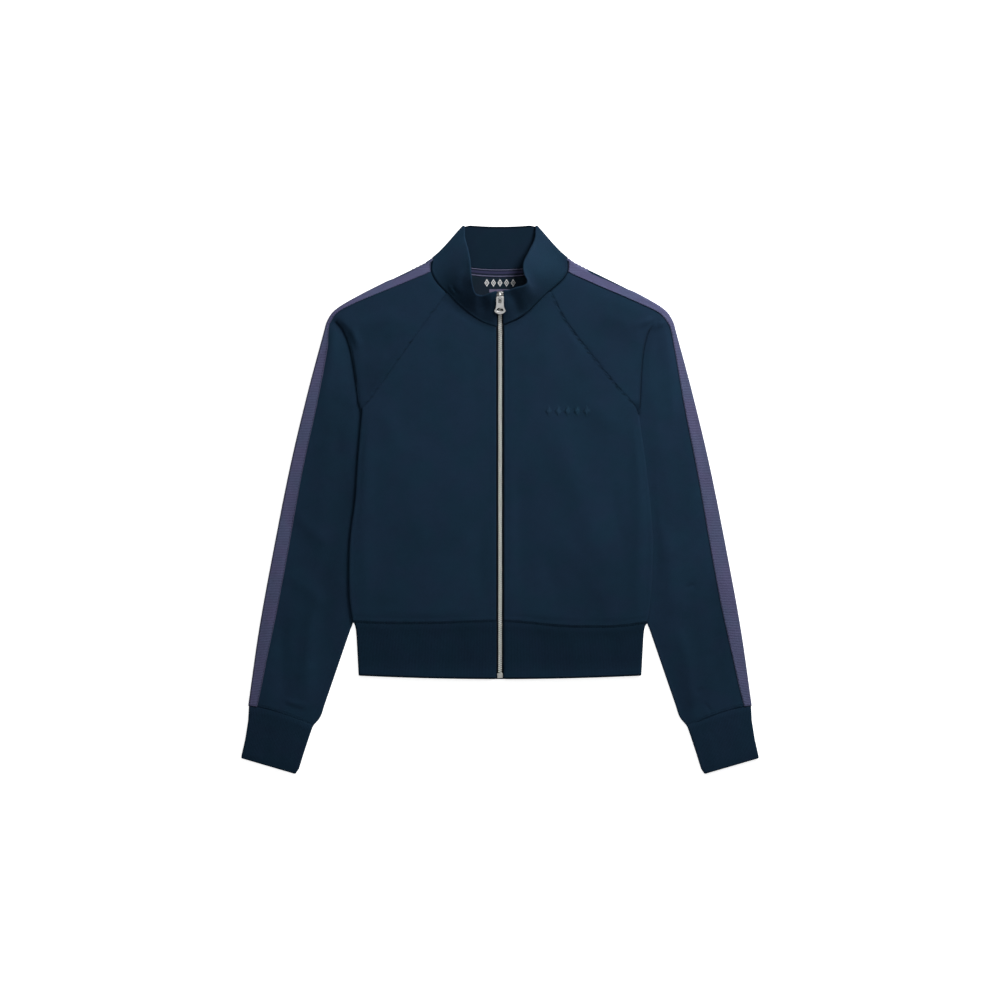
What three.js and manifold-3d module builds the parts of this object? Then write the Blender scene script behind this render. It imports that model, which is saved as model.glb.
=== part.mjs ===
// A zip-up track top laid flat on its back, sleeves brought down beside the body.
//
// Frame, in millimetres: +Y runs up the garment towards the collar, +Z up from the surface it lies on,
// +X towards the wearer's left. The origin is the middle of the outline, on that surface.
// Layers from the surface up: sleeve backs, sleeve fronts, then the body's back and fronts, whose side
// edges lie over the sleeves' underarm folds. The collar stands a little and folds at its two sides.

import * as THREE from 'three';
import { mergeVertices } from 'three/addons/utils/BufferGeometryUtils.js';
import Module from 'manifold-3d';

// ---- thicknesses and gaps --------------------------------------------------

const JERSEY = 1.4;            // body and sleeves
const RIB = 2.4;               // doubled rib of the waistband
const CUFF_WALL = 2.2;         // the same rib, stretched a little round the wrist
const COLLAR = 2.4;            // doubled collar band
const STRIPE = 0.9;            // sleeve stripe tape
const ZIP_TAPE = 0.8;
const NECK_TRIM = 0.7;         // neck tape and neck patch
const GAP = 0.3;               // between neighbouring pieces

// ---- levels of the layers, at the middle of each wall -----------------------

const FLOOR_LEVEL = JERSEY / 2;              // a jersey panel lying on the surface
const TUCKED_LEVEL = 2.6;                    // sleeve front where the body lies on it
const SLEEVE_LEVEL = 4.8;                    // sleeve front in the open
const FOLD_LEVEL = 4;                        // sleeve front at the over-arm fold
const FOLD_UNDER_LEVEL = 2.2;               // sleeve back at the over-arm fold, above the stripe tape
const ZIP_LEVEL = 4;                         // zip tapes and chain on the body
const FRONT_LEVEL = 5.4;                     // front panels beside the zip
const FRONT_FULLNESS = 0.6;                  // how much higher the chest lies
const FRONT_OVERHANG = 0.8;                  // how much higher the body lies above the waistband seam
const BACK_LIFT = 4;                         // back panel's rise over the tucked sleeve
const FRONT_LIFT = 0.9;                      // front panel's rise above the same
const BAND_BACK_LEVEL = RIB / 2;
const BAND_FRONT_LEVEL = ZIP_LEVEL + ZIP_TAPE / 2 + GAP + RIB / 2;
const CUFF_HALF_HEIGHT = 1.6;                // middle of the wall above and below the cuff's middle

// Where one level turns into the next: distances from the centre line, from a fold or along y.
const CHEST_RISES = { from: 8, to: 70 };
const FOLLOWS_ZIP = { none: 34, full: 13 };
const BAND_STEP = { from: -171, to: -160 };
const OVERHANG = { start: -172, full: -158, fading: -140, end: -100 };
const SHOULDER = { from: 205, to: 255 };
const FRONT_EDGE_ROLL = 30;
const SLEEVE_EDGE_ROLL = 16;
const TUCK = { top: 150, full: 123, fading: -112, end: -150, inner: 80, outer: 34 };
const ARMHOLE = { under: 5, over: -2, top: 152 };
const COMES_OUT = { from: 1, to: 27 };       // sleeve front beyond the edge that covers it
const TAPE_STEP = { near: 1, far: 10 };      // sleeve back beyond the stripe tape's edge

// ---- widths ----------------------------------------------------------------

const ZIP_EDGE = 5.4;          // from the centre line to the edge of each front
const CHAIN_WIDTH = 5.9;
const CHAIN_HEIGHT = 2.5;
const STRIPE_WIDTH = 28;       // whole stripe tape, front and back of the fold together
const STRIPE_WRAP = 4;         // the part of it that goes round the fold
const SLEEVE_INSET = 2;        // sleeve edge inside the stripe tape's fold

// ---- outline tables: y, then the distance from the centre line --------------

// Over-arm edge of the sleeve, from the collar along the shoulder to the cuff seam.
const OVER_ARM = [
  { y: 343, x: 88 },
  { y: 332, x: 104 },
  { y: 307, x: 155 },
  { y: 282, x: 204 },
  { y: 265, x: 231 },
  { y: 249, x: 242 },
  { y: 237, x: 245.5 },
  { y: 153, x: 268 },
  { y: 48, x: 293 },
  { y: -78, x: 318 },
  { y: -183, x: 337 },
  { y: -288, x: 352 },
];

// Underarm fold of the sleeve, tucked under the body and then free to the cuff seam.
const UNDER_ARM = [
  { y: 129, x: 192 },
  { y: 100, x: 184 },
  { y: 60, x: 178 },
  { y: 0, x: 178 },
  { y: -50, x: 185 },
  { y: -85, x: 199 },
  { y: -112, x: 209 },
  { y: -140, x: 209 },
  { y: -171, x: 206 },
  { y: -183, x: 210 },
  { y: -288, x: 246 },
  { y: -305, x: 252 },
  { y: -317, x: 262 },
];

// Side edge of the body, from the underarm to the waistband seam.
const BODY_SIDE = [
  { y: 135, right: 193, left: 195 },
  { y: 117, right: 194, left: 195 },
  { y: 60, right: 199, left: 203 },
  { y: 0, right: 203, left: 210 },
  { y: -50, right: 209.5, left: 214 },
  { y: -90, right: 211.5, left: 214 },
  { y: -140, right: 210.5, left: 211 },
  { y: -169, right: 206.5, left: 206.5 },
];

// Front raglan seam, from the collar seam to the underarm.
const FRONT_RAGLAN = [
  { y: 293, right: 72, left: 69.5 },
  { y: 257, right: 98, left: 88 },
  { y: 228, right: 119, left: 108 },
  { y: 161, right: 167, left: 162 },
  { y: 139, right: 182.5, left: 182 },
  { y: 129, right: 191, left: 189.5 },
  { y: 117, right: 194, left: 193.5 },
];

// Back raglan seam, from the back neckline to the underarm.
const BACK_RAGLAN = [
  { y: 327, x: 52 },
  { y: 315, x: 62 },
  { y: 290, x: 81 },
  { y: 250, x: 106 },
  { y: 200, x: 135 },
  { y: 160, x: 158 },
  { y: 139, x: 176 },
  { y: 129, x: 185 },
  { y: 117, x: 192.5 },
];

// Fold where the sleeve drops away below the shoulder.
const ARMHOLE_FOLD = [
  { y: 256, right: 238, left: 225 },
  { y: 240, right: 221, left: 210 },
  { y: 215, right: 210, left: 201.5 },
  { y: 181, right: 203.5, left: 197.5 },
  { y: 150, right: 199, left: 196 },
  { y: 117, right: 194.5, left: 195 },
];

// Collar seam across the fronts and the front of each sleeve.
const COLLAR_SEAM = [
  { y: 334, right: 97, left: 96 },
  { y: 320, right: 97, left: 95.2 },
  { y: 309, right: 93, left: 90 },
  { y: 298, right: 84.5, left: 79 },
  { y: 285, right: 70.5, left: 63 },
  { y: 273, right: 59.5, left: 51 },
  { y: 262, right: 46.5, left: 41 },
  { y: 253, right: 34, left: 29 },
  { y: 247, right: 24, left: 15 },
  { y: 243, right: 12, left: 4 },
  { y: 241, right: 4, left: 0 },
];

// How much of the stripe tape shows on the front of the sleeve.
const STRIPE_SHOWN = [
  { y: 332, right: 13.5, left: 13.5 },
  { y: 312, right: 14, left: 15.5 },
  { y: 270, right: 6, left: 10.5 },
  { y: 253, right: 4.5, left: 8 },
  { y: 238, right: 5, left: 6 },
  { y: 212, right: 10.5, left: 8 },
  { y: 139, right: 16, left: 14.5 },
  { y: 60, right: 17.5, left: 18 },
  { y: -141, right: 20, left: 21 },
  { y: -253, right: 14.5, left: 14 },
  { y: -288, right: 12, left: 10 },
];

// Waistband: side edge, and the seam's height by distance from the centre.
const BAND_SIDE = { seam: 203, hem: 198.1 };
const BAND_SEAM_Y = -171;
const HEM_Y = { centre: -250.6, side: -245.7 };
const BAND_SEAM_SAG = { right: -3, left: -8 };

// Cuff: outer and inner edge at the seam, half way and at the bottom.
const CUFF = [
  { v: 0, outerX: 351.7, outerY: -288, innerX: 262, innerY: -317.5 },
  { v: 0.3, outerX: 352.8, outerY: -309.5, innerX: 266.8, innerY: -331 },
  { v: 0.65, outerX: 357, outerY: -336, innerX: 275, innerY: -356 },
  { v: 0.93, outerX: 361.8, outerY: -356.2, innerX: 281.5, innerY: -376 },
  { v: 1, outerX: 362.6, outerY: -360, innerX: 286, innerY: -382.4 },
];
const CUFF_SEAM_DROP = 29;

// Collar band, a row for each station from the zip edge to the side fold: its foot, its top edge and
// how far the cloth between them bows out.
const COLLAR_STATIONS = {
  right: [
    { footX: 12, footY: 244.5, footZ: 6.4, topX: 12, topY: 287.5, topZ: 24.6, bow: -0.5 },
    { footX: 25, footY: 249.5, footZ: 6.6, topX: 24, topY: 284, topZ: 25, bow: -2 },
    { footX: 42, footY: 260.5, footZ: 7, topX: 34, topY: 286.5, topZ: 26.5, bow: -2 },
    { footX: 57, footY: 273.5, footZ: 7.2, topX: 38.5, topY: 298, topZ: 28, bow: -0.5 },
    { footX: 69, footY: 286.5, footZ: 7, topX: 40.5, topY: 312, topZ: 27, bow: 1.5 },
    { footX: 82, footY: 299, footZ: 6.7, topX: 42, topY: 331, topZ: 22.5, bow: 3 },
    { footX: 90.5, footY: 310.5, footZ: 6.3, topX: 45.5, topY: 350, topZ: 15, bow: 2.8 },
    { footX: 94.5, footY: 322, footZ: 5.7, topX: 49.5, topY: 365, topZ: 8.3, bow: 1.4 },
  ],
  left: [
    { footX: 12, footY: 248, footZ: 6.8, topX: 12, topY: 291, topZ: 26, bow: 0 },
    { footX: 24, footY: 253.5, footZ: 7, topX: 21, topY: 294, topZ: 28, bow: -1.5 },
    { footX: 38, footY: 263, footZ: 7.2, topX: 34, topY: 297.5, topZ: 28.5, bow: -1 },
    { footX: 50, footY: 275, footZ: 7.3, topX: 38.5, topY: 303, topZ: 28, bow: 0.5 },
    { footX: 63, footY: 288, footZ: 7, topX: 33.5, topY: 316, topZ: 26, bow: 2.5 },
    { footX: 78, footY: 301, footZ: 6.7, topX: 33.5, topY: 330, topZ: 22.5, bow: 3.5 },
    { footX: 88, footY: 311.5, footZ: 6.3, topX: 41.5, topY: 347, topZ: 15.5, bow: 2.8 },
    { footX: 93, footY: 322.5, footZ: 5.7, topX: 49, topY: 364, topZ: 8.3, bow: 1.4 },
  ],
};
const COLLAR_ZIP_EDGE = {
  right: { footY: 242.6, topY: 289.5, bow: -0.7 },
  left: { footY: 245.6, topY: 290.5, bow: -0.7 },
};
const COLLAR_FOLD = { footX: 95.2, footY: 338.8, topX: 52.5, topY: 383 };
const COLLAR_FOLD_RADIUS = 1.5;
const COLLAR_BACK = { footHalf: 88, topHalf: 50, topInset: 0.6 };
const BACK_NECK = { centreY: 322.3, rise: 16.5, halfWidth: 95, power: 2.2 };
const COLLAR_TOP_DIP = 3.6;

// Zip line: level on the body, then climbing with the collar.
const ZIP_RISE = { startY: 248, slope: 0.45, blend: 8 };
const ZIP_TOP_Y = 288;
const ZIP_BOTTOM_Y = -243;
const PULL_PIVOT_Y = 284;
const ZIP_TAPE_EDGE = 12.1;

// ---- small helpers ---------------------------------------------------------

const mix = (a, b, t) => a + (b - a) * t;
const clamp01 = (t) => Math.min(Math.max(t, 0), 1);
const smooth = (from, to, value) => {
  const t = clamp01((value - from) / (to - from));
  return t * t * (3 - 2 * t);
};
const HANDS = { right: -1, left: 1 };

// A cubic through the rows of a table, from the largest y to the smallest.
function curve(rows, column) {
  const slope = (i) => {
    const above = rows[Math.max(i - 1, 0)];
    const below = rows[Math.min(i + 1, rows.length - 1)];
    return (below[column] - above[column]) / (below.y - above.y);
  };
  return (y) => {
    let i = 0;
    while (i < rows.length - 2 && y < rows[i + 1].y) i += 1;
    const span = rows[i + 1].y - rows[i].y;
    const t = clamp01((y - rows[i].y) / span);
    const rise = t * t * (3 - 2 * t);
    return mix(rows[i][column], rows[i + 1][column], rise)
      + span * slope(i) * t * (1 - t) ** 2
      - span * slope(i + 1) * t * t * (1 - t);
  };
}

function bothHands(rows) {
  const curves = { right: curve(rows, 'right'), left: curve(rows, 'left') };
  return (y, hand) => curves[hand](y);
}

const overArm = curve(OVER_ARM, 'x');
const underArm = curve(UNDER_ARM, 'x');
const bodySide = bothHands(BODY_SIDE);
const frontRaglan = bothHands(FRONT_RAGLAN);
const backRaglan = curve(BACK_RAGLAN, 'x');
const armholeFold = bothHands(ARMHOLE_FOLD);
const collarSeam = bothHands(COLLAR_SEAM);
const stripeShown = bothHands(STRIPE_SHOWN);

const overArmSlope = (y) => (overArm(y + 2) - overArm(y - 2)) / 4;
const overArmScale = (y) => Math.hypot(1, overArmSlope(y));
const fromOverArm = (x, y) => (overArm(y) - x) / overArmScale(y);
const backNeckY = (x) => BACK_NECK.centreY + BACK_NECK.rise * (x / BACK_NECK.halfWidth) ** BACK_NECK.power;

function zipLevel(y) {
  const d = y - ZIP_RISE.startY;
  const w = ZIP_RISE.blend;
  if (d <= -w) return ZIP_LEVEL;
  if (d >= w) return ZIP_LEVEL + ZIP_RISE.slope * d;
  return ZIP_LEVEL + ZIP_RISE.slope * (d + w) ** 2 / (4 * w);
}

// ---- heights of the cloth over the surface, by place -------------------------

const UNDERARM_Y = { right: 129, left: 117 };
const BACK_UNDERARM_Y = 117;

// 1 where the body lies over the sleeve's underarm fold, 0 away from it.
function tuckMask(x, y, hand) {
  const side = bodySide(y, hand);
  const along = smooth(TUCK.top, TUCK.full, y) * smooth(TUCK.end, TUCK.fading, y);
  return along * smooth(side - TUCK.inner, side - TUCK.outer, x);
}

const backLevel = (x, y, hand) => FLOOR_LEVEL + BACK_LIFT * tuckMask(x, y, hand);

// Body front, and its continuation over the shoulder as far as the armhole fold.
function frontLevel(x, y, hand) {
  const fullness = FRONT_FULLNESS * smooth(CHEST_RISES.from, CHEST_RISES.to, x);
  const overSleeve = FRONT_LIFT * tuckMask(x, y, hand);
  const low = smooth(OVERHANG.start, OVERHANG.full, y) * smooth(OVERHANG.end, OVERHANG.fading, y);
  const climb = (zipLevel(y) - ZIP_LEVEL) * smooth(FOLLOWS_ZIP.none, FOLLOWS_ZIP.full, x);
  const panel = FRONT_LEVEL + fullness + overSleeve + climb + FRONT_OVERHANG * low;
  const body = mix(BAND_FRONT_LEVEL, panel, smooth(BAND_STEP.from, BAND_STEP.to, y));
  return mix(FOLD_LEVEL, body, smooth(0, FRONT_EDGE_ROLL, fromOverArm(x, y)));
}

function sleeveFrontLevel(x, y, hand) {
  const fold = armholeFold(y, hand);
  const covered = y > TUCK.full ? fold : Math.max(bodySide(y, hand), underArm(y));
  const open = mix(TUCKED_LEVEL, SLEEVE_LEVEL, smooth(COMES_OUT.from, COMES_OUT.to, x - covered));
  const sleeve = mix(FOLD_LEVEL, open, smooth(0, SLEEVE_EDGE_ROLL, fromOverArm(x, y)));
  const beforeFold = smooth(ARMHOLE.under, ARMHOLE.over, x - fold) * smooth(TUCK.full, ARMHOLE.top, y);
  const shoulder = smooth(SHOULDER.from, SHOULDER.to, y);
  return mix(sleeve, frontLevel(x, y, hand), Math.max(beforeFold, shoulder));
}

const stripeBehind = (y, hand) => STRIPE_WIDTH - STRIPE_WRAP - stripeShown(y, hand);

function sleeveBackLevel(x, y, hand) {
  const behind = stripeBehind(y, hand);
  const overTape = smooth(behind + TAPE_STEP.far, behind + TAPE_STEP.near, fromOverArm(x, y));
  return mix(FLOOR_LEVEL, FOLD_UNDER_LEVEL, overTape);
}

// ---- walls from a middle surface ----------------------------------------------

function signedVolume(points, faces) {
  let volume = 0;
  for (const [a, b, c] of faces) {
    volume += points[a].dot(points[b].clone().cross(points[c])) / 6;
  }
  return volume;
}

function closedGeometry(points, faces) {
  const outward = signedVolume(points, faces) > 0;
  const places = points.flatMap((p) => p.toArray());
  const geometry = new THREE.BufferGeometry();
  geometry.setAttribute('position', new THREE.Float32BufferAttribute(places, 3));
  geometry.setIndex(faces.flatMap(([a, b, c]) => (outward ? [a, b, c] : [a, c, b])));
  geometry.computeVertexNormals();
  return geometry;
}

const UP = () => new THREE.Vector3(0, 0, 1);

// Unit normal of the grid of points at one of its nodes.
function gridNormal(grid, i, j, closed) {
  const rows = grid.length;
  const columns = grid[0].length;
  const before = closed ? (j + columns - 1) % columns : Math.max(j - 1, 0);
  const after = closed ? (j + 1) % columns : Math.min(j + 1, columns - 1);
  const across = grid[i][after].clone().sub(grid[i][before]);
  const along = grid[Math.min(i + 1, rows - 1)][j].clone().sub(grid[Math.max(i - 1, 0)][j]);
  return across.cross(along).normalize();
}

// Closes a grid of middle points into a wall. An open sheet gets four edges, a closed one is a tube.
function wall(grid, thickness, { closed = false, upright = false } = {}) {
  const rows = grid.length;
  const columns = grid[0].length;
  const points = [];
  for (const side of [0.5, -0.5]) {
    for (let i = 0; i < rows; i += 1) {
      for (let j = 0; j < columns; j += 1) {
        const normal = upright ? UP() : gridNormal(grid, i, j, closed);
        points.push(grid[i][j].clone().addScaledVector(normal, side * thickness));
      }
    }
  }
  const at = (side, i, j) => side * rows * columns + i * columns + (j % columns);
  const faces = [];
  const quad = (a, b, c, d) => faces.push([a, b, c], [a, c, d]);
  const spans = closed ? columns : columns - 1;
  for (let i = 0; i < rows - 1; i += 1) {
    for (let j = 0; j < spans; j += 1) {
      quad(at(0, i, j), at(0, i, j + 1), at(0, i + 1, j + 1), at(0, i + 1, j));
      quad(at(1, i, j), at(1, i + 1, j), at(1, i + 1, j + 1), at(1, i, j + 1));
    }
  }
  for (let j = 0; j < spans; j += 1) {
    quad(at(1, 0, j), at(1, 0, j + 1), at(0, 0, j + 1), at(0, 0, j));
    quad(at(0, rows - 1, j), at(0, rows - 1, j + 1), at(1, rows - 1, j + 1), at(1, rows - 1, j));
  }
  if (!closed) {
    const last = columns - 1;
    for (let i = 0; i < rows - 1; i += 1) {
      quad(at(0, i, 0), at(0, i + 1, 0), at(1, i + 1, 0), at(1, i, 0));
      quad(at(1, i, last), at(1, i + 1, last), at(0, i + 1, last), at(0, i, last));
    }
  }
  return closedGeometry(points, faces);
}

const steps = (from, to, count) => Array.from({ length: count + 1 }, (_, i) => mix(from, to, i / count));
const grid = (rows, columns, at) => rows.map((v) => columns.map((u) => at(u, v)));

// ---- materials -------------------------------------------------------------

const cloth = (color) => new THREE.MeshStandardMaterial({ color, roughness: 0.9, metalness: 0 });
const NAVY_JERSEY = cloth(0x1b2b3c);
const NAVY_RIB = cloth(0x16283a);
const NAVY_COLLAR = cloth(0x192939);
const PURPLE_TAPE = cloth(0x4b4869);
const NECK_TAPE = cloth(0x4a4870);
const NECK_PATCH = cloth(0x152333);
const ZIP_CLOTH = cloth(0x0e1722);
const ZIP_METAL = new THREE.MeshStandardMaterial({ color: 0xa5a596, roughness: 0.35, metalness: 1 });
const PULL_METAL = new THREE.MeshStandardMaterial({ color: 0xd2d4d6, roughness: 0.22, metalness: 1 });

const garment = new THREE.Group();

function add(name, geometry, material, parent = garment) {
  const mesh = new THREE.Mesh(geometry, material);
  mesh.name = name;
  parent.add(mesh);
  return mesh;
}

// ---- body ------------------------------------------------------------------

const BAND_SEAM_REACH = -120;                // rows below this bend with the seam
const SAG = { start: 0, full: 110, fading: 150, end: 235 };
const NECK_DIP_START = 250;                  // rows above this bend with the back neckline
const SIDE_TURNS_IN = { from: -80, to: -104 };
const FRONT_CROWDING = 0.8;                  // columns closer together towards the side
const NARROWEST = 0.8;

function bandSeamY(x, hand) {
  return BAND_SEAM_Y + BAND_SEAM_SAG[hand] * smooth(SAG.start, SAG.full, x) * smooth(SAG.end, SAG.fading, x);
}

const nearBandSeam = (y) => smooth(BAND_SEAM_REACH, BAND_SEAM_Y, y);

// Rows along the raglan seams, shared by the panels on both sides of each seam.
const ZIP_SEAM_Y = { right: 241.2, left: 243.6 };
const FRONT_TIP_Y = { right: 288.1, left: 290.2 };
const BACK_TIP_Y = 326.7;
const frontRaglanRows = (hand) => [
  ...[UNDERARM_Y[hand], 140, 160, 185, 212],
  ...[ZIP_SEAM_Y[hand], 251, 263, 277, FRONT_TIP_Y[hand]],
];
const BACK_RAGLAN_ROWS = [BACK_UNDERARM_Y, 129, 145, 165, 200, 235, 265, 295, BACK_TIP_Y];

function frontPanel(hand) {
  const zipTop = ZIP_SEAM_Y[hand];
  const rows = [BAND_SEAM_Y + GAP, -160, -146, ...steps(-115, 75, 5), ...frontRaglanRows(hand)];
  return grid(rows, steps(0, 1, 8), (u, y) => {
    const inner = y <= zipTop ? ZIP_EDGE : Math.max(collarSeam(y, hand) + GAP, ZIP_EDGE);
    const outer = y > UNDERARM_Y[hand] ? frontRaglan(y, hand) - GAP / 2 : bodySide(y, hand);
    const x = mix(inner, Math.max(outer, inner + NARROWEST), u ** FRONT_CROWDING);
    const dy = (bandSeamY(x, hand) - BAND_SEAM_Y) * nearBandSeam(y);
    return new THREE.Vector3(HANDS[hand] * x, y + dy, frontLevel(x, y, hand));
  });
}

function backPanel() {
  const rows = [BAND_SEAM_Y + GAP, -150, -130, ...steps(-108, 80, 5), ...BACK_RAGLAN_ROWS];
  return grid(rows, steps(-1, 1, 14), (u, edgeY) => {
    const hand = u < 0 ? 'right' : 'left';
    const turnedIn = smooth(SIDE_TURNS_IN.from, SIDE_TURNS_IN.to, edgeY);
    const side = mix(bodySide(edgeY, hand), underArm(edgeY) - 1, turnedIn);
    const outer = edgeY >= BACK_UNDERARM_Y ? backRaglan(edgeY) - GAP / 2 : side;
    const x = outer * Math.abs(u);
    const neckDip = (BACK_TIP_Y - BACK_NECK.centreY) * smooth(NECK_DIP_START, BACK_TIP_Y, edgeY);
    const y = edgeY - neckDip * (1 - Math.abs(u) ** BACK_NECK.power);
    const dyBand = (bandSeamY(x, hand) - BAND_SEAM_Y) * nearBandSeam(y);
    return new THREE.Vector3(HANDS[hand] * x, y + dyBand, backLevel(x, y, hand));
  });
}

add('front_right', wall(frontPanel('right'), JERSEY, { upright: true }), NAVY_JERSEY);
add('front_left', wall(frontPanel('left'), JERSEY, { upright: true }), NAVY_JERSEY);
add('back', wall(backPanel(), JERSEY, { upright: true }), NAVY_JERSEY);

// ---- sleeves ---------------------------------------------------------------

const CUFF_SEAM_Y = -287.6;
const CUFF_SEAM_REACH = -100;                // rows below this bend with the seam
const CUFF_SEAM_BEND = 1.5;
const SLEEVE_TOP_Y = 333.5;
const cuffSeamDrop = (y) => CUFF_SEAM_DROP * smooth(CUFF_SEAM_REACH, CUFF_SEAM_Y, y);

function frontSleeveInner(y, hand) {
  if (y > FRONT_TIP_Y[hand]) return collarSeam(y, hand) + GAP;
  return y >= UNDERARM_Y[hand] ? frontRaglan(y, hand) + GAP / 2 : underArm(y);
}

function backSleeveInner(y) {
  const neckEdge = BACK_NECK.halfWidth
    * (Math.max(y + GAP - BACK_NECK.centreY, 0) / BACK_NECK.rise) ** (1 / BACK_NECK.power);
  if (y > BACK_TIP_Y) return neckEdge;
  return y >= BACK_UNDERARM_Y ? backRaglan(y) + GAP / 2 : underArm(y);
}

const ARM_ROWS = [CUFF_SEAM_Y, -272, -250, -220, -185, -155, -125, -95, -60, -20, 20, 60, 95];
const NECK_ROWS = [308, 321, SLEEVE_TOP_Y];
const ACROSS_SLEEVE = [0, 0.2, 0.42, 0.65, 0.82, 0.92, 1];

function sleevePanel(hand, rows, innerEdge, level) {
  return grid(rows, ACROSS_SLEEVE, (u, overY) => {
    const drop = cuffSeamDrop(overY);
    const inner = innerEdge(overY - drop);
    const outer = overArm(overY) - SLEEVE_INSET * overArmScale(overY);
    const x = mix(inner, outer, u);
    const y = overY - drop * (1 - u) ** CUFF_SEAM_BEND;
    return new THREE.Vector3(HANDS[hand] * x, y, level(x, y, hand));
  });
}

// The tape's turn round the fold: how far in it starts, and its rounded middle part.
const TAPE_TURN = { start: 2.6, rounded: 1.1, fullness: 0.72 };

// The tape follows the sleeve's own rows, a little way off it, and wraps the fold.
function stripePanel(hand, rows) {
  const underLevel = STRIPE / 2;
  const { start, rounded, fullness } = TAPE_TURN;
  return rows.map((y) => {
    const room = (inner) => (overArm(y) - inner - GAP) / overArmScale(y);
    const shown = Math.min(stripeShown(y, hand), room(frontSleeveInner(y, hand)));
    const behind = Math.min(stripeBehind(y, hand), room(backSleeveInner(y)));
    const place = (d) => overArm(y) - d * overArmScale(y);
    const above = (d) => sleeveFrontLevel(place(d), y, hand) + (JERSEY + STRIPE) / 2 + 1.5 * GAP;
    const crest = above(start);
    const middle = (crest + underLevel) / 2;
    const halfShown = (shown + start) / 2;
    const profile = [
      [shown, above(shown)],
      [halfShown, above(halfShown)],
      [start, crest],
      [rounded, mix(middle, crest, fullness)],
      [STRIPE / 2, middle],
      [rounded, mix(middle, underLevel, fullness)],
      [start, underLevel],
      [behind, underLevel],
    ];
    return profile.map(([d, z]) => new THREE.Vector3(HANDS[hand] * place(d), y, z));
  });
}

for (const hand of Object.keys(HANDS)) {
  const frontRows = [...ARM_ROWS, ...frontRaglanRows(hand), ...NECK_ROWS];
  const backRows = [...ARM_ROWS, ...BACK_RAGLAN_ROWS, SLEEVE_TOP_Y];
  const front = sleevePanel(hand, frontRows, (y) => frontSleeveInner(y, hand), sleeveFrontLevel);
  const back = sleevePanel(hand, backRows, backSleeveInner, sleeveBackLevel);
  add(`sleeve_${hand}_front`, wall(front, JERSEY, { upright: true }), NAVY_JERSEY);
  add(`sleeve_${hand}_back`, wall(back, JERSEY, { upright: true }), NAVY_JERSEY);
  add(`stripe_tape_${hand}`, wall(stripePanel(hand, frontRows), STRIPE), PURPLE_TAPE);
}

// ---- cuffs -----------------------------------------------------------------

const CUFF_BOW = 3.48;                       // how far the seam edge bows up between its two folds

// Flattened tube: from the inner fold across the back to the outer fold and home across the front.
function cuffTube(hand) {
  const radius = CUFF_HALF_HEIGHT;
  const inset = radius + RIB / 2;
  const level = radius + RIB / 2;
  const turn = [0, 0.25, 0.5, 0.75].map((t) => Math.PI * t);
  const across = steps(0, 1, 4).slice(1, -1);
  return CUFF.map((row) => {
    const inner = new THREE.Vector2(row.innerX, row.innerY);
    const outer = new THREE.Vector2(row.outerX, row.outerY);
    const direction = outer.clone().sub(inner).normalize();
    const width = outer.distanceTo(inner) - 2 * inset;
    const bow = CUFF_BOW * (1 - row.v);
    const place = (s, z) => {
      const p = inner.clone().addScaledVector(direction, inset + s);
      const lift = bow * Math.sin(Math.PI * clamp01(s / width));
      return new THREE.Vector3(HANDS[hand] * p.x, p.y + lift - GAP, z);
    };
    return [
      ...turn.map((a) => place(-radius * Math.sin(a), level + radius * Math.cos(a))),
      place(0, level - radius),
      ...across.map((t) => place(width * t, level - radius)),
      ...turn.map((a) => place(width + radius * Math.sin(a), level - radius * Math.cos(a))),
      place(width, level + radius),
      ...across.map((t) => place(width * (1 - t), level + radius)),
    ];
  });
}

add('cuff_right', wall(cuffTube('right'), CUFF_WALL, { closed: true }), NAVY_RIB);
add('cuff_left', wall(cuffTube('left'), CUFF_WALL, { closed: true }), NAVY_RIB);

// ---- waistband -------------------------------------------------------------

// One strip from zip edge to zip edge: across a front, round the side fold, across the back and home.
function waistband() {
  const middle = (BAND_FRONT_LEVEL + BAND_BACK_LEVEL) / 2;
  const radius = (BAND_FRONT_LEVEL - BAND_BACK_LEVEL) / 2;
  const inset = radius + RIB / 2;
  return steps(0, 1, 4).map((v) => {
    const edge = mix(BAND_SIDE.seam, BAND_SIDE.hem, v) - inset;
    const half = (hand) => {
      const seam = (x) => bandSeamY(x, hand) - GAP;
      const hem = (x) => mix(HEM_Y.centre, HEM_Y.side, (x / BAND_SIDE.hem) ** 2);
      const place = (x, z) => new THREE.Vector3(HANDS[hand] * x, mix(seam(x), hem(x), v), z);
      return [
        ...steps(ZIP_EDGE, edge, 6).map((x) => place(x, BAND_FRONT_LEVEL)),
        ...[0.25, 0.5, 0.75].map((t) => place(
          edge + radius * Math.sin(Math.PI * t),
          middle + radius * Math.cos(Math.PI * t),
        )),
        ...steps(edge, 0, 5).slice(0, -1).map((x) => place(x, BAND_BACK_LEVEL)),
      ];
    };
    const centreY = mix(BAND_SEAM_Y - GAP, HEM_Y.centre, v);
    const centre = new THREE.Vector3(0, centreY, BAND_BACK_LEVEL);
    return [...half('right'), centre, ...half('left').reverse()];
  });
}

add('waistband', wall(waistband(), RIB), NAVY_RIB);

// ---- collar ----------------------------------------------------------------

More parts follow.
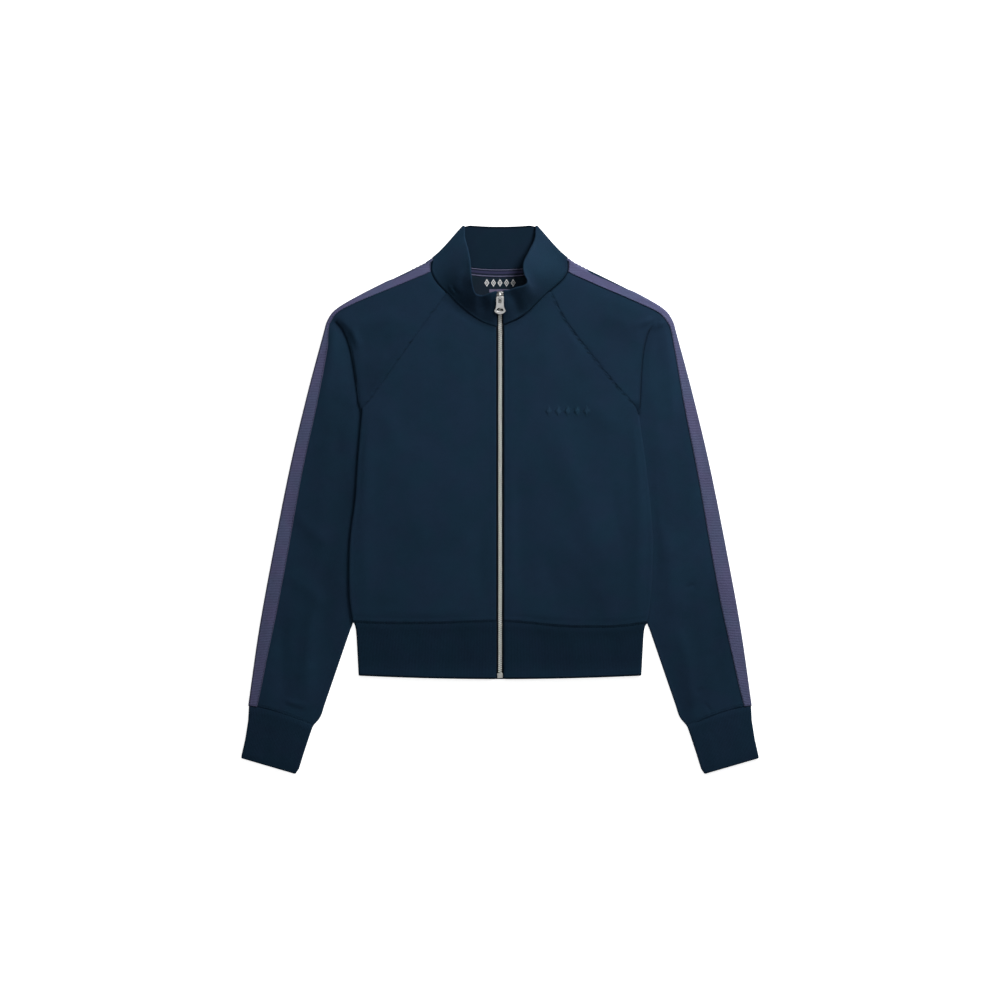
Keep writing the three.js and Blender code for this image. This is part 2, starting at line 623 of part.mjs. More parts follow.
// One band: up the front beside the zip, round the side fold and across the back of the neck.
function collarBand() {
  const edgeRise = (COLLAR / 2 + GAP) * Math.hypot(1, ZIP_RISE.slope) + ZIP_TAPE / 2;
  const fold = new THREE.Vector2(COLLAR_FOLD.topX - COLLAR_FOLD.footX, COLLAR_FOLD.topY - COLLAR_FOLD.footY);
  const outward = new THREE.Vector2(fold.y, -fold.x).normalize();
  const backLevelZ = COLLAR / 2;
  const foldStation = (turn) => {
    const inset = COLLAR / 2 + COLLAR_FOLD_RADIUS * (1 - Math.sin(turn));
    const z = backLevelZ + COLLAR_FOLD_RADIUS * (1 + Math.cos(turn));
    return {
      footX: COLLAR_FOLD.footX - outward.x * inset,
      footY: COLLAR_FOLD.footY - outward.y * inset,
      footZ: z,
      topX: COLLAR_FOLD.topX - outward.x * inset,
      topY: COLLAR_FOLD.topY - outward.y * inset,
      topZ: z,
      bow: 0,
    };
  };
  const backStation = (t) => ({
    footX: COLLAR_BACK.footHalf * t,
    footY: backNeckY(COLLAR_BACK.footHalf * t) + GAP,
    footZ: backLevelZ,
    topX: COLLAR_BACK.topHalf * t,
    topY: COLLAR_FOLD.topY - COLLAR_TOP_DIP * (1 - t ** 2) - COLLAR_BACK.topInset,
    topZ: backLevelZ,
    bow: 0,
  });
  const zipStation = (hand) => {
    const { footY, topY, bow } = COLLAR_ZIP_EDGE[hand];
    return {
      footX: ZIP_EDGE,
      footY,
      footZ: zipLevel(footY) + edgeRise,
      topX: ZIP_EDGE,
      topY,
      topZ: zipLevel(topY) + edgeRise,
      bow,
    };
  };
  const half = (hand) => [
    zipStation(hand),
    ...COLLAR_STATIONS[hand],
    ...steps(0, Math.PI, 4).map(foldStation),
    ...[0.8, 0.55, 0.28].map(backStation),
  ].map((station) => ({ ...station, hand }));
  const stations = [...half('right'), { ...backStation(0), hand: 'left' }, ...half('left').reverse()];
  return steps(0, 1, 5).map((v) => stations.map((s) => new THREE.Vector3(
    HANDS[s.hand] * mix(s.footX, s.topX, v),
    mix(s.footY, s.topY, v),
    mix(s.footZ, s.topZ, v) + s.bow * Math.sin(Math.PI * v),
  )));
}

add('collar', wall(collarBand(), COLLAR), NAVY_COLLAR);

// ---- inside back neck --------------------------------------------------------

const TRIM_LEVEL = JERSEY + GAP + NECK_TRIM / 2;
const TRIM_BELOW_SEAM = 0.4;
const NECK_TAPE_WIDTH = 11;
const NECK_TAPE_HALF = 55;
const PATCH = { halfWidth: 58, depth: 47, roundness: 0.98 };

function neckTape() {
  return grid(steps(0, 1, 1), steps(-1, 1, 14), (u, v) => {
    const x = NECK_TAPE_HALF * u;
    const y = backNeckY(Math.abs(x)) - TRIM_BELOW_SEAM - NECK_TAPE_WIDTH * (1 - v);
    return new THREE.Vector3(x, y, TRIM_LEVEL);
  });
}

function neckPatch() {
  return grid(steps(0, 1, 8), steps(-1, 1, 12), (u, v) => {
    const x = PATCH.halfWidth * u * Math.sqrt(1 - (PATCH.roundness * (1 - v)) ** 2);
    const top = backNeckY(Math.abs(x)) - TRIM_BELOW_SEAM - NECK_TAPE_WIDTH - GAP;
    return new THREE.Vector3(x, top - PATCH.depth * (1 - v), TRIM_LEVEL);
  });
}

add('neck_tape', wall(neckTape(), NECK_TRIM, { upright: true }), NECK_TAPE);
add('neck_patch', wall(neckPatch(), NECK_TRIM, { upright: true }), NECK_PATCH);

// ---- zip -------------------------------------------------------------------

const zipRows = (top) => [...steps(ZIP_BOTTOM_Y, 230, 8), ...steps(236, 252, 4), ...steps(262, top, 3)];

function zipStrip(inner, outer, top, thickness) {
  const middle = grid(zipRows(top), [inner, outer], (x, y) => new THREE.Vector3(x, y, zipLevel(y)));
  return wall(middle, thickness, { upright: true });
}

const CHAIN_HALF = CHAIN_WIDTH / 2;
const CHAIN_TOP_Y = PULL_PIVOT_Y + 1.4;
const BESIDE_CHAIN = CHAIN_HALF + GAP;
add('zip_tape_right', zipStrip(-ZIP_TAPE_EDGE, -BESIDE_CHAIN, ZIP_TOP_Y, ZIP_TAPE), ZIP_CLOTH);
add('zip_tape_left', zipStrip(BESIDE_CHAIN, ZIP_TAPE_EDGE, ZIP_TOP_Y, ZIP_TAPE), ZIP_CLOTH);
add('zip_chain', zipStrip(-CHAIN_HALF, CHAIN_HALF, CHAIN_TOP_Y, CHAIN_HEIGHT), ZIP_METAL);

const RETAINER = { width: 8, length: 6.4, height: 2.9, lift: 0.2 };
const retainer = add(
  'zip_retainer',
  new THREE.BoxGeometry(RETAINER.width, RETAINER.length, RETAINER.height),
  ZIP_METAL,
);
retainer.position.set(0, ZIP_BOTTOM_Y - GAP - RETAINER.length / 2, ZIP_LEVEL + RETAINER.lift);

// ---- slider and pull tab -------------------------------------------------------

const wasm = await Module();
wasm.setup();

function solid(geometry) {
  geometry.deleteAttribute('normal');
  geometry.deleteAttribute('uv');
  const merged = mergeVertices(geometry, 1e-4);
  return new wasm.Manifold(new wasm.Mesh({
    numProp: 3,
    vertProperties: new Float32Array(merged.attributes.position.array),
    triVerts: new Uint32Array(merged.index.array),
  }));
}

function geometryOf(manifold) {
  const mesh = manifold.getMesh();
  const geometry = new THREE.BufferGeometry();
  geometry.setAttribute('position', new THREE.BufferAttribute(new Float32Array(mesh.vertProperties), 3));
  geometry.setIndex([...mesh.triVerts]);
  geometry.computeVertexNormals();
  return geometry;
}

// Along the zip: x across it, y up it, z off it, from the pull tab's axis projected on the zip.
const zipFrame = new THREE.Group();
zipFrame.position.set(0, PULL_PIVOT_Y, zipLevel(PULL_PIVOT_Y));
zipFrame.rotation.x = Math.atan(ZIP_RISE.slope);
garment.add(zipFrame);

const SLIDER = {
  length: 12,
  shoulder: 4.8,
  shoulderFoot: 1,
  tail: 4.1,
  nose: 2.4,
  noseLength: 2,
  plate: 1.2,
  clearance: 1.55,
};
const WEDGE = { width: 2.4, length: 3, fromPivot: 3.6, bury: 0.5 };
const PIVOT_HEIGHT = 5;
const BRIDGE = {
  width: 2.8,
  bury: 0.3,
  rear: -2.6,
  front: 6.4,
  legRear: -1.5,
  legFront: 4.6,
  roofRear: -1.45,
  roofFront: 3.4,
  roofHeight: PIVOT_HEIGHT + 1.35,
  top: PIVOT_HEIGHT + 2.3,
  topRear: -1.6,
  topFront: 3.6,
  shoulderRear: -2.4,
  shoulderFront: 5,
  shoulderDrop: 0.6,
};

function outline(Kind, corners) {
  const path = new Kind();
  corners.forEach(([x, y], i) => (i ? path.lineTo(x, y) : path.moveTo(x, y)));
  path.closePath();
  return path;
}

function plateShape() {
  const end = SLIDER.length / 2;
  return outline(THREE.Shape, [
    [-SLIDER.tail, -end],
    [SLIDER.tail, -end],
    [SLIDER.shoulder, SLIDER.shoulderFoot],
    [SLIDER.shoulder, end - SLIDER.noseLength],
    [SLIDER.nose, end],
    [-SLIDER.nose, end],
    [-SLIDER.shoulder, end - SLIDER.noseLength],
    [-SLIDER.shoulder, SLIDER.shoulderFoot],
  ]);
}

// Side view of the arch over the slider, along the zip and up from it.
function bridgeShape() {
  const foot = SLIDER.clearance + SLIDER.plate - BRIDGE.bury;
  const shoulder = BRIDGE.top - BRIDGE.shoulderDrop;
  return outline(THREE.Shape, [
    [BRIDGE.rear, foot],
    [BRIDGE.legRear, foot],
    [BRIDGE.roofRear, BRIDGE.roofHeight],
    [BRIDGE.roofFront, BRIDGE.roofHeight],
    [BRIDGE.legFront, foot],
    [BRIDGE.front, foot],
    [BRIDGE.shoulderFront, shoulder],
    [BRIDGE.topFront, BRIDGE.top],
    [BRIDGE.topRear, BRIDGE.top],
    [BRIDGE.shoulderRear, shoulder],
  ]);
}

function extruded(shape, depth, curveSegments = 1) {
  return new THREE.ExtrudeGeometry(shape, { depth, bevelEnabled: false, curveSegments });
}

function sliderGeometry() {
  const wedgeHeight = 2 * (SLIDER.clearance + WEDGE.bury);
  const wedge = new THREE.BoxGeometry(WEDGE.width, WEDGE.length, wedgeHeight);
  const bridge = extruded(bridgeShape(), BRIDGE.width);
  bridge.translate(0, 0, -BRIDGE.width / 2);
  bridge.rotateY(Math.PI / 2).rotateX(Math.PI / 2);
  return geometryOf([
    extruded(plateShape(), SLIDER.plate).translate(0, 0, SLIDER.clearance),
    extruded(plateShape(), SLIDER.plate).translate(0, 0, -SLIDER.clearance - SLIDER.plate),
    wedge.translate(0, WEDGE.fromPivot, 0),
    bridge,
  ].map(solid).reduce((whole, piece) => whole.add(piece)));
}

// Distances from the tab's axis, downwards negative: a neck that flares out and comes to a blunt tip,
// a slot for the bridge and an arched finger hole.
const PULL = {
  thickness: 1.6,
  barEnd: 1,
  neckHalf: 5.3,
  neckEnd: -10,
  flareStart: -15.6,
  flareHalf: 8,
  flareEnd: -20,
  tipHalf: 3.2,
  tipRise: 0.9,
  tipEnd: -25.4,
  tipRound: { inset: 1, drop: 2.8 },
};
const SLOT = { half: 1.9, top: -0.8, end: -9 };
const ARCH = { half: 4.8, shoulder: 4.4, foot: -20.5, crown: -15.8 };

function pullShape() {
  const side = PULL.flareHalf - PULL.tipRound.inset;
  const low = PULL.flareEnd - PULL.tipRound.drop;
  const tip = PULL.tipEnd + PULL.tipRise;
  const shape = new THREE.Shape();
  shape.moveTo(-PULL.neckHalf, PULL.barEnd);
  shape.lineTo(-PULL.neckHalf, PULL.neckEnd);
  shape.quadraticCurveTo(-PULL.neckHalf, PULL.flareStart, -PULL.flareHalf, PULL.flareEnd);
  shape.quadraticCurveTo(-side, low, -PULL.tipHalf, tip);
  shape.lineTo(0, PULL.tipEnd);
  shape.lineTo(PULL.tipHalf, tip);
  shape.quadraticCurveTo(side, low, PULL.flareHalf, PULL.flareEnd);
  shape.quadraticCurveTo(PULL.neckHalf, PULL.flareStart, PULL.neckHalf, PULL.neckEnd);
  shape.lineTo(PULL.neckHalf, PULL.barEnd);
  shape.closePath();

  const slot = outline(THREE.Path, [
    [-SLOT.half, SLOT.top],
    [SLOT.half, SLOT.top],
    [SLOT.half, SLOT.end],
    [-SLOT.half, SLOT.end],
  ]);
  const arch = new THREE.Path();
  arch.moveTo(-ARCH.half, ARCH.foot);
  arch.quadraticCurveTo(-ARCH.shoulder, ARCH.crown, 0, ARCH.crown);
  arch.quadraticCurveTo(ARCH.shoulder, ARCH.crown, ARCH.half, ARCH.foot);
  arch.closePath();
  shape.holes.push(slot, arch);
  return shape;
}

const PULL_CURVE_STEPS = 5;
add('zip_slider', sliderGeometry(), ZIP_METAL, zipFrame);
const pull = add(
  'zip_pull_tab',
  extruded(pullShape(), PULL.thickness, PULL_CURVE_STEPS),
  PULL_METAL,
  zipFrame,
);
pull.position.z = PIVOT_HEIGHT - PULL.thickness / 2;

export default garment;
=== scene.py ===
import math

import bpy
import numpy as np
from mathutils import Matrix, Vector


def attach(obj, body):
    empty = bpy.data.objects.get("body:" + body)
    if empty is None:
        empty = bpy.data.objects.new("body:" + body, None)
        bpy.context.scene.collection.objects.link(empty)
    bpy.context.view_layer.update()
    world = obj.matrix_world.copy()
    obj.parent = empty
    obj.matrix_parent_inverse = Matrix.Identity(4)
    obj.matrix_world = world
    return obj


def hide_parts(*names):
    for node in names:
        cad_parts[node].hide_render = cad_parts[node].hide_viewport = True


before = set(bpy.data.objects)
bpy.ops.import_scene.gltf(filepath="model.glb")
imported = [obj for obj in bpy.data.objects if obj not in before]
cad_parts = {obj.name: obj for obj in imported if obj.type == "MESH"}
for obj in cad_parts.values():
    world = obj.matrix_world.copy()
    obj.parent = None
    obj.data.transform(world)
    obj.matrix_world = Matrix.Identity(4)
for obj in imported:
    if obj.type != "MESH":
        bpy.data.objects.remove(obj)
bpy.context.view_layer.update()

scene = bpy.context.scene

# ---- The table and the light -------------------------------------------------------
# The top lies on its back on a white table top, seen from straight above. One large soft
# window of light stands off its upper right, a weaker one hangs overhead, and a faint card
# beyond the hem gives the metal something pale to mirror. The room is pale and dim.

PICTURE_WIDTH = 1.4
LENS_MM = 100
SENSOR_MM = 36
CLOTH_HEIGHT = 0.005
PICTURE_CENTRE_Y = -0.0007
TABLE_HALF = 6
TABLE_WHITE = (0.93, 0.93, 0.93, 1)
TABLE_GLOW = 0.75
ROOM_LIGHT = 0.12

camera_data = bpy.data.cameras.new("camera")
camera_data.lens = LENS_MM
camera_data.sensor_width = SENSOR_MM
camera = bpy.data.objects.new("camera", camera_data)
camera.location = (0, PICTURE_CENTRE_Y, PICTURE_WIDTH * LENS_MM / SENSOR_MM + CLOTH_HEIGHT)
scene.collection.objects.link(camera)
scene.camera = camera
scene.view_settings.view_transform = "Standard"


def soft_window(name, place, side, watts):
    data = bpy.data.lights.new(name, "AREA")
    data.shape = "SQUARE"
    data.size = side
    data.energy = watts
    lamp = bpy.data.objects.new(name, data)
    lamp.location = place
    lamp.rotation_mode = "QUATERNION"
    lamp.rotation_quaternion = (-Vector(place)).to_track_quat("-Z", "Y")
    scene.collection.objects.link(lamp)


soft_window("window", (1.0, 1.3, 1.0), 0.75, 47)
soft_window("overhead", (-0.2, 0.6, 2.6), 1.6, 11)
soft_window("front_card", (0.0, -1.7, 1.5), 1.1, 3)

room = bpy.data.worlds.new("room")
room.use_nodes = True
room.node_tree.nodes["Background"].inputs["Color"].default_value = (0.98, 0.99, 1, 1)
room.node_tree.nodes["Background"].inputs["Strength"].default_value = ROOM_LIGHT
scene.world = room

table_mesh = bpy.data.meshes.new("table_top")
table_corners = [(-TABLE_HALF, -TABLE_HALF), (TABLE_HALF, -TABLE_HALF)]
table_corners += [(TABLE_HALF, TABLE_HALF), (-TABLE_HALF, TABLE_HALF)]
table_mesh.from_pydata([(x, y, -0.0002) for x, y in table_corners], [], [(0, 1, 2, 3)])
table_top = bpy.data.objects.new("table_top", table_mesh)
table_paint = bpy.data.materials.new("table_paint")
table_paint.use_nodes = True
table_shader = table_paint.node_tree.nodes["Principled BSDF"]
table_shader.inputs["Base Color"].default_value = TABLE_WHITE
table_shader.inputs["Roughness"].default_value = 1
table_shader.inputs["Specular IOR Level"].default_value = 0
table_shader.inputs["Emission Color"].default_value = (1, 1, 1, 1)
table_shader.inputs["Emission Strength"].default_value = TABLE_GLOW
table_mesh.materials.append(table_paint)
scene.collection.objects.link(table_top)

# ---- Back panel --------------------------------------------------------------------
# One piece of navy sweatshirt jersey from the waistband to the back neck, cut with raglan
# edges. It lies on the table in its middle and rises over the tucked sleeves at its sides.

MM = 0.001
JERSEY = 1.3
RIB = 2.3
GAP = 0.3
HANDS = {"right": -1, "left": 1}
SHEEN_BLUE = (0.42, 0.62, 0.95, 1)


def table(columns, *rows):
    return dict(zip(columns.split(), np.array(rows, float).T))


def mix(a, b, t):
    return a + (b - a) * t


def smooth(start, end, value):
    t = np.clip((value - start) / (end - start), 0, 1)
    return t * t * (3 - 2 * t)


def curve(rows, column):
    """A cubic through the rows of a table, from the largest y to the smallest."""
    y, x = rows["y"], rows[column]
    last = len(y) - 1
    above = np.maximum(np.arange(last + 1) - 1, 0)
    below = np.minimum(np.arange(last + 1) + 1, last)
    slope = (x[below] - x[above]) / (y[below] - y[above])

    def at(place):
        place = np.asarray(place, float)
        i = np.searchsorted(-y[1:-1], -place, side="left")
        span = y[i + 1] - y[i]
        t = np.clip((place - y[i]) / span, 0, 1)
        rise = t * t * (3 - 2 * t)
        bent = slope[i] * t * (1 - t) ** 2 - slope[i + 1] * t * t * (1 - t)
        return mix(x[i], x[i + 1], rise) + span * bent

    return at


def both_hands(rows):
    curves = {hand: curve(rows, hand) for hand in HANDS}
    return lambda y, hand: curves[hand](y)


under_arm = curve(table(
    "y x",
    (129, 192), (100, 184), (60, 178), (0, 178), (-50, 185), (-85, 199), (-112, 209), (-140, 209),
    (-171, 206), (-183, 210), (-288, 246), (-305, 252), (-317, 262),
), "x")
body_side = both_hands(table(
    "y right left",
    (135, 193, 195), (117, 194, 195), (60, 199, 203), (0, 203, 210), (-50, 209.5, 214),
    (-90, 211.5, 214), (-140, 210.5, 211), (-169, 206.5, 206.5),
))
back_raglan = curve(table(
    "y x",
    (327, 52), (315, 62), (290, 81), (250, 106), (200, 135), (160, 158), (139, 176), (129, 185),
    (117, 192.5),
), "x")

BAND_SEAM_Y = -171
BAND_SEAM_SAG = {"right": -3, "left": -8}
BACK_UNDERARM_Y = 117
BACK_TIP_Y = 326.7
BACK_NECK = {"centre": 322.3, "rise": 16.5, "half_width": 95, "power": 2.2}
FLOOR_LEVEL = 0.7
BACK_LIFT = 4
TUCK = {"top": 150, "full": 123, "fading": -112, "end": -150}


def band_seam_y(x, hand):
    return BAND_SEAM_Y + BAND_SEAM_SAG[hand] * smooth(0, 110, x) * smooth(235, 150, x)


def back_neck_y(x):
    return BACK_NECK["centre"] + BACK_NECK["rise"] * (x / BACK_NECK["half_width"]) ** BACK_NECK["power"]


def tuck_mask(x, y, hand):
    """1 where the body lies over the sleeve's underarm fold, 0 away from it."""
    along = smooth(TUCK["top"], TUCK["full"], y) * smooth(TUCK["end"], TUCK["fading"], y)
    side = body_side(y, hand)
    return along * smooth(side - 80, side - 34, x)


def back_level(x, y, hand):
    return FLOOR_LEVEL + BACK_LIFT * tuck_mask(x, y, hand)


def creases(x, y, rows):
    """Soft ridges and troughs along the rows' lines: width across, height up, bend sideways."""
    lift = np.zeros_like(x + y)
    for row in zip(*(rows[c] for c in "x0 y0 x1 y1 bend width height".split())):
        x0, y0, x1, y1, bend, width, height = row
        length = math.hypot(x1 - x0, y1 - y0)
        t = ((x - x0) * (x1 - x0) + (y - y0) * (y1 - y0)) / length**2
        inside = np.clip(t, 0, 1)
        off = ((y - y0) * (x1 - x0) - (x - x0) * (y1 - y0)) / length - bend * 4 * inside * (1 - inside)
        lift += height * smooth(-0.2, 0.25, t) * smooth(1.2, 0.75, t) * np.exp(-((off / width) ** 2))
    return lift


def ripple(x, y, height, seed):
    """A gentle unevenness of cloth that was pressed and laid by hand."""
    dice = np.random.default_rng(seed)
    lift = np.zeros_like(x + y)
    for length in (170, 120, 84, 61, 43):
        turn, start = dice.uniform(0, math.tau, 2)
        lift += length / 170 * np.sin(math.tau / length * (x * math.cos(turn) + y * math.sin(turn)) + start)
    return height * lift / 2


def edge_drop(distance, radius, depth):
    """How far a rounded edge has fallen, at some distance in from the edge."""
    t = np.clip(1 - distance / radius, 0, 1)
    return depth * (1 - np.sqrt(1 - 0.98 * t * t))


def spaced(corners, step):
    """Rows about step apart that pass through each corner."""
    parts = [
        np.linspace(a, b, max(2, round(abs(b - a) / step)) + 1)[:-1] for a, b in zip(corners, corners[1:])
    ]
    return np.concatenate([*parts, corners[-1:]])


def crowded(count, pull=0.65):
    """From 0 to 1, closer together near both ends."""
    t = np.linspace(0, 1, count)
    return mix(t, 0.5 - 0.5 * np.cos(math.pi * t), pull)


def grid_normals(points):
    normals = np.cross(np.gradient(points, axis=1), np.gradient(points, axis=0))
    return normals / np.maximum(np.linalg.norm(normals, axis=2, keepdims=True), 1e-9)


def seam_along(points, *lines):
    """For each point of a cloth, its distance from the nearest line of stitching, its place along
    that line, and how hard the stitches pull there. A line has its points, an inset and a pull."""
    nearest = np.full(points.shape[:2], 1e3)
    sewn = np.zeros((*points.shape[:2], 3))
    for line, inset, pull in lines:
        run = np.concatenate([[0], np.cumsum(np.linalg.norm(np.diff(line, axis=0), axis=1))])
        for start in range(len(points)):
            gaps = np.linalg.norm(points[start][:, None] - line[None], axis=2)
            closest = gaps.argmin(1)
            off = np.abs(gaps[np.arange(len(closest)), closest] - inset)
            nearer = off < nearest[start]
            nearest[start] = np.where(nearer, off, nearest[start])
            mine = np.stack([off, run[closest], np.full(len(off), pull)], -1)
            sewn[start] = np.where(nearer[:, None], mine, sewn[start])
    return sewn


def cloth(name, points, thickness, lay, face, material, edge=0.38, sewn=None, shade=None):
    """A thin cloth round a grid of middle points, in millimetres. face is the side of the grid that
    the right side of the cloth is on, lay the thread directions' coordinates, sewn the seams'."""
    rows, columns = points.shape[:2]
    normals = grid_normals(points) * face
    ring = [(0, j) for j in range(columns)] + [(i, columns - 1) for i in range(1, rows)]
    ring += [(rows - 1, j) for j in range(columns - 2, -1, -1)] + [(i, 0) for i in range(rows - 2, 0, -1)]
    ring = np.array(ring)
    inward = np.clip(ring, 1, [rows - 2, columns - 2])
    rim, before = points[ring[:, 0], ring[:, 1]], points[inward[:, 0], inward[:, 1]]
    outward = rim - before
    outward /= np.maximum(np.linalg.norm(outward, axis=1, keepdims=True), 1e-9)
    places = [points + normals * thickness / 2, points - normals * thickness / 2]
    verts = np.concatenate([p.reshape(-1, 3) for p in places] + [rim + outward * edge * thickness])
    count = rows * columns
    number = np.arange(count).reshape(rows, columns)
    a, b, c, d = (number[:-1, :-1], number[:-1, 1:], number[1:, 1:], number[1:, :-1])
    top = np.stack([a, b, c, d], -1).reshape(-1, 4)
    around = number[ring[:, 0], ring[:, 1]]
    after = np.roll(around, -1)
    rim_number = 2 * count + np.arange(len(ring))
    rim_after = np.roll(rim_number, -1)
    upper = np.stack([around, rim_number, rim_after, after], -1)
    lower = np.stack([rim_number, around + count, after + count, rim_after], -1)
    faces = np.concatenate([top, top[:, ::-1] + count, upper, lower])
    if face < 0:
        faces = faces[:, ::-1]
    flat = lay.reshape(-1, 2)
    side = np.concatenate([np.ones(count), np.zeros(count), np.full(len(ring), 0.5)])
    coordinates = np.column_stack([np.concatenate([flat, flat, flat[around]]), side])
    piece = solid_mesh(name, verts, faces, material, coordinates)
    if sewn is not None:
        flat = sewn.reshape(-1, 3)
        stitched = piece.data.attributes.new("sewn", "FLOAT_VECTOR", "POINT")
        stitched.data.foreach_set(
            "vector", np.concatenate([flat, flat, flat[around]]).astype(np.float32).ravel()
        )
    # The shade attribute carries painted shade and painted light, which scale the cloth's colour.
    if shade is not None:
        flat = shade.ravel()
        painted_shade_factor = piece.data.attributes.new("shade", "FLOAT", "POINT")
        painted_shade_factor.data.foreach_set("value", np.concatenate([flat, flat, flat[around]]).astype(np.float32))
    return piece


def solid_mesh(name, verts, faces, material, coordinates=None):
    mesh = bpy.data.meshes.new(name)
    faces = np.asarray(faces)
    corners = faces.shape[1]
    mesh.vertices.add(len(verts))
    mesh.vertices.foreach_set("co", (np.asarray(verts) * MM).astype(np.float32).ravel())
    mesh.loops.add(faces.size)
    mesh.loops.foreach_set("vertex_index", faces.astype(np.int32).ravel())
    mesh.polygons.add(len(faces))
    mesh.polygons.foreach_set("loop_start", np.arange(0, faces.size, corners, dtype=np.int32))
    mesh.update(calc_edges=True)
    mesh.polygons.foreach_set("use_smooth", np.ones(len(faces), bool))
    if coordinates is not None:
        laid = mesh.attributes.new("lay", "FLOAT_VECTOR", "POINT")
        laid.data.foreach_set("vector", coordinates.astype(np.float32).ravel())
    mesh.materials.append(material)
    mesh.validate()
    piece = bpy.data.objects.new(name, mesh)
    scene.collection.objects.link(piece)
    return piece


class Dye:
    """One socket of a material. Arithmetic on it adds Math nodes to the same node tree."""

    def __init__(self, tree, socket):
        self.tree = tree
        self.socket = socket

    @classmethod
    def node(cls, tree, kind, settings=(), sockets=(), output=0):
        made = tree.nodes.new("ShaderNode" + kind)
        for name, value in dict(settings).items():
            if name == "stops":
                for element, (place, colour) in zip(made.color_ramp.elements, value):
                    element.position = place
                    element.color = colour
            else:
                setattr(made, name, value)
        for name, value in dict(sockets).items():
            if isinstance(value, cls):
                tree.links.new(value.socket, made.inputs[name])
            else:
                made.inputs[name].default_value = value
        return cls(tree, made.outputs[output])

    def maths(self, operation, *others):
        values = dict(enumerate((self, *others)))
        return Dye.node(self.tree, "Math", {"operation": operation}, values)

    def __add__(self, other):
        return self.maths("ADD", other)

    def __sub__(self, other):
        return self.maths("SUBTRACT", other)

    def __rsub__(self, other):
        return Dye.node(self.tree, "Math", {"operation": "SUBTRACT"}, {0: other, 1: self})

    def __mul__(self, other):
        return self.maths("MULTIPLY", other)

    def __truediv__(self, other):
        return self.maths("DIVIDE", other)

    def __pow__(self, other):
        return self.maths("POWER", other)

    __radd__ = __add__
    __rmul__ = __mul__

    def fraction(self):
        return self.maths("FRACT")

    def whole(self):
        return self.maths("FLOOR")

    def size(self):
        return self.maths("ABSOLUTE")

    def sine(self):
        return self.maths("SINE")

    def most(self, other):
        return self.maths("MAXIMUM", other)

    def least(self, other):
        return self.maths("MINIMUM", other)

    def step(self, start, end):
        """0 below start, 1 above end, smooth between them."""
        sockets = {"Value": self, "From Min": start, "From Max": end}
        return Dye.node(self.tree, "MapRange", {"interpolation_type": "SMOOTHSTEP"}, sockets)


def new_material(name, **constants):
    """A material with a Principled shader, whose even properties are set on its own sockets."""
    material = bpy.data.materials.new(name)
    material.use_nodes = True
    shader = material.node_tree.nodes["Principled BSDF"]
    for socket, value in constants.items():
        shader.inputs[socket.replace("_", " ")].default_value = value
    return material, material.node_tree, shader


def laid_coordinates(tree):
    """Across and along the cloth in millimetres, and 1 on its right side, 0 on its wrong side."""
    laid = Dye.node(tree, "Attribute", {"attribute_name": "lay"}, output="Vector")
    return [Dye.node(tree, "SeparateXYZ", sockets={0: laid}, output=i) for i in range(3)]


def cloud(tree, scale, detail=2, roughness=0.5, stretch=(1, 1, 1)):
    """Uneven tone, as a value from 0 to 1 about one half, placed by the piece's own position."""
    place = Dye.node(tree, "TexCoord", output="Object")
    placed = Dye.node(tree, "VectorMath", {"operation": "MULTIPLY"}, {0: place, 1: stretch})
    sockets = {"Vector": placed, "Scale": scale, "Detail": detail, "Roughness": roughness}
    return Dye.node(tree, "TexNoise", sockets=sockets)


def mottling(tree):
    """Uneven dye and pressing, from patches a hand wide down to single loops."""
    return cloud(tree, 10, 3) * 0.45 + cloud(tree, 60, 3) * 0.3 + cloud(tree, 700, 2) * 0.25


def mix_colour(tree, share, first, second):
    return Dye.node(tree, "Mix", {"data_type": "RGBA"}, {0: share, 6: first, 7: second}, output=2)


def tinted(colour, share):
    return (*(c * share for c in colour), 1)


def times(tree, first, second, share=1.0):
    sockets = {0: share, 6: first, 7: second}
    return Dye.node(tree, "Mix", {"data_type": "RGBA", "blend_type": "MULTIPLY"}, sockets, output=2)


def puckers(tree):
    """Gathers across a seam, where its stitches draw the cloth in, and the crumpling round them."""
    laid = Dye.node(tree, "Attribute", {"attribute_name": "sewn"}, output="Vector")
    distance, run, pull = [Dye.node(tree, "SeparateXYZ", sockets={0: laid}, output=i) for i in range(3)]
    gather = ((run / GATHER_PITCH + cloud(tree, 45, 2) * 2.2).fraction() * math.pi).sine()
    uneven = cloud(tree, 190, 2).step(0.38, 0.62)
    reach = distance + cloud(tree, 120, 2) * 4
    near = (1 - reach.step(GATHER_REACH - 3, GATHER_REACH)) * pull
    return (1 - gather * uneven) * near, (cloud(tree, 430, 2) - 0.5) * near


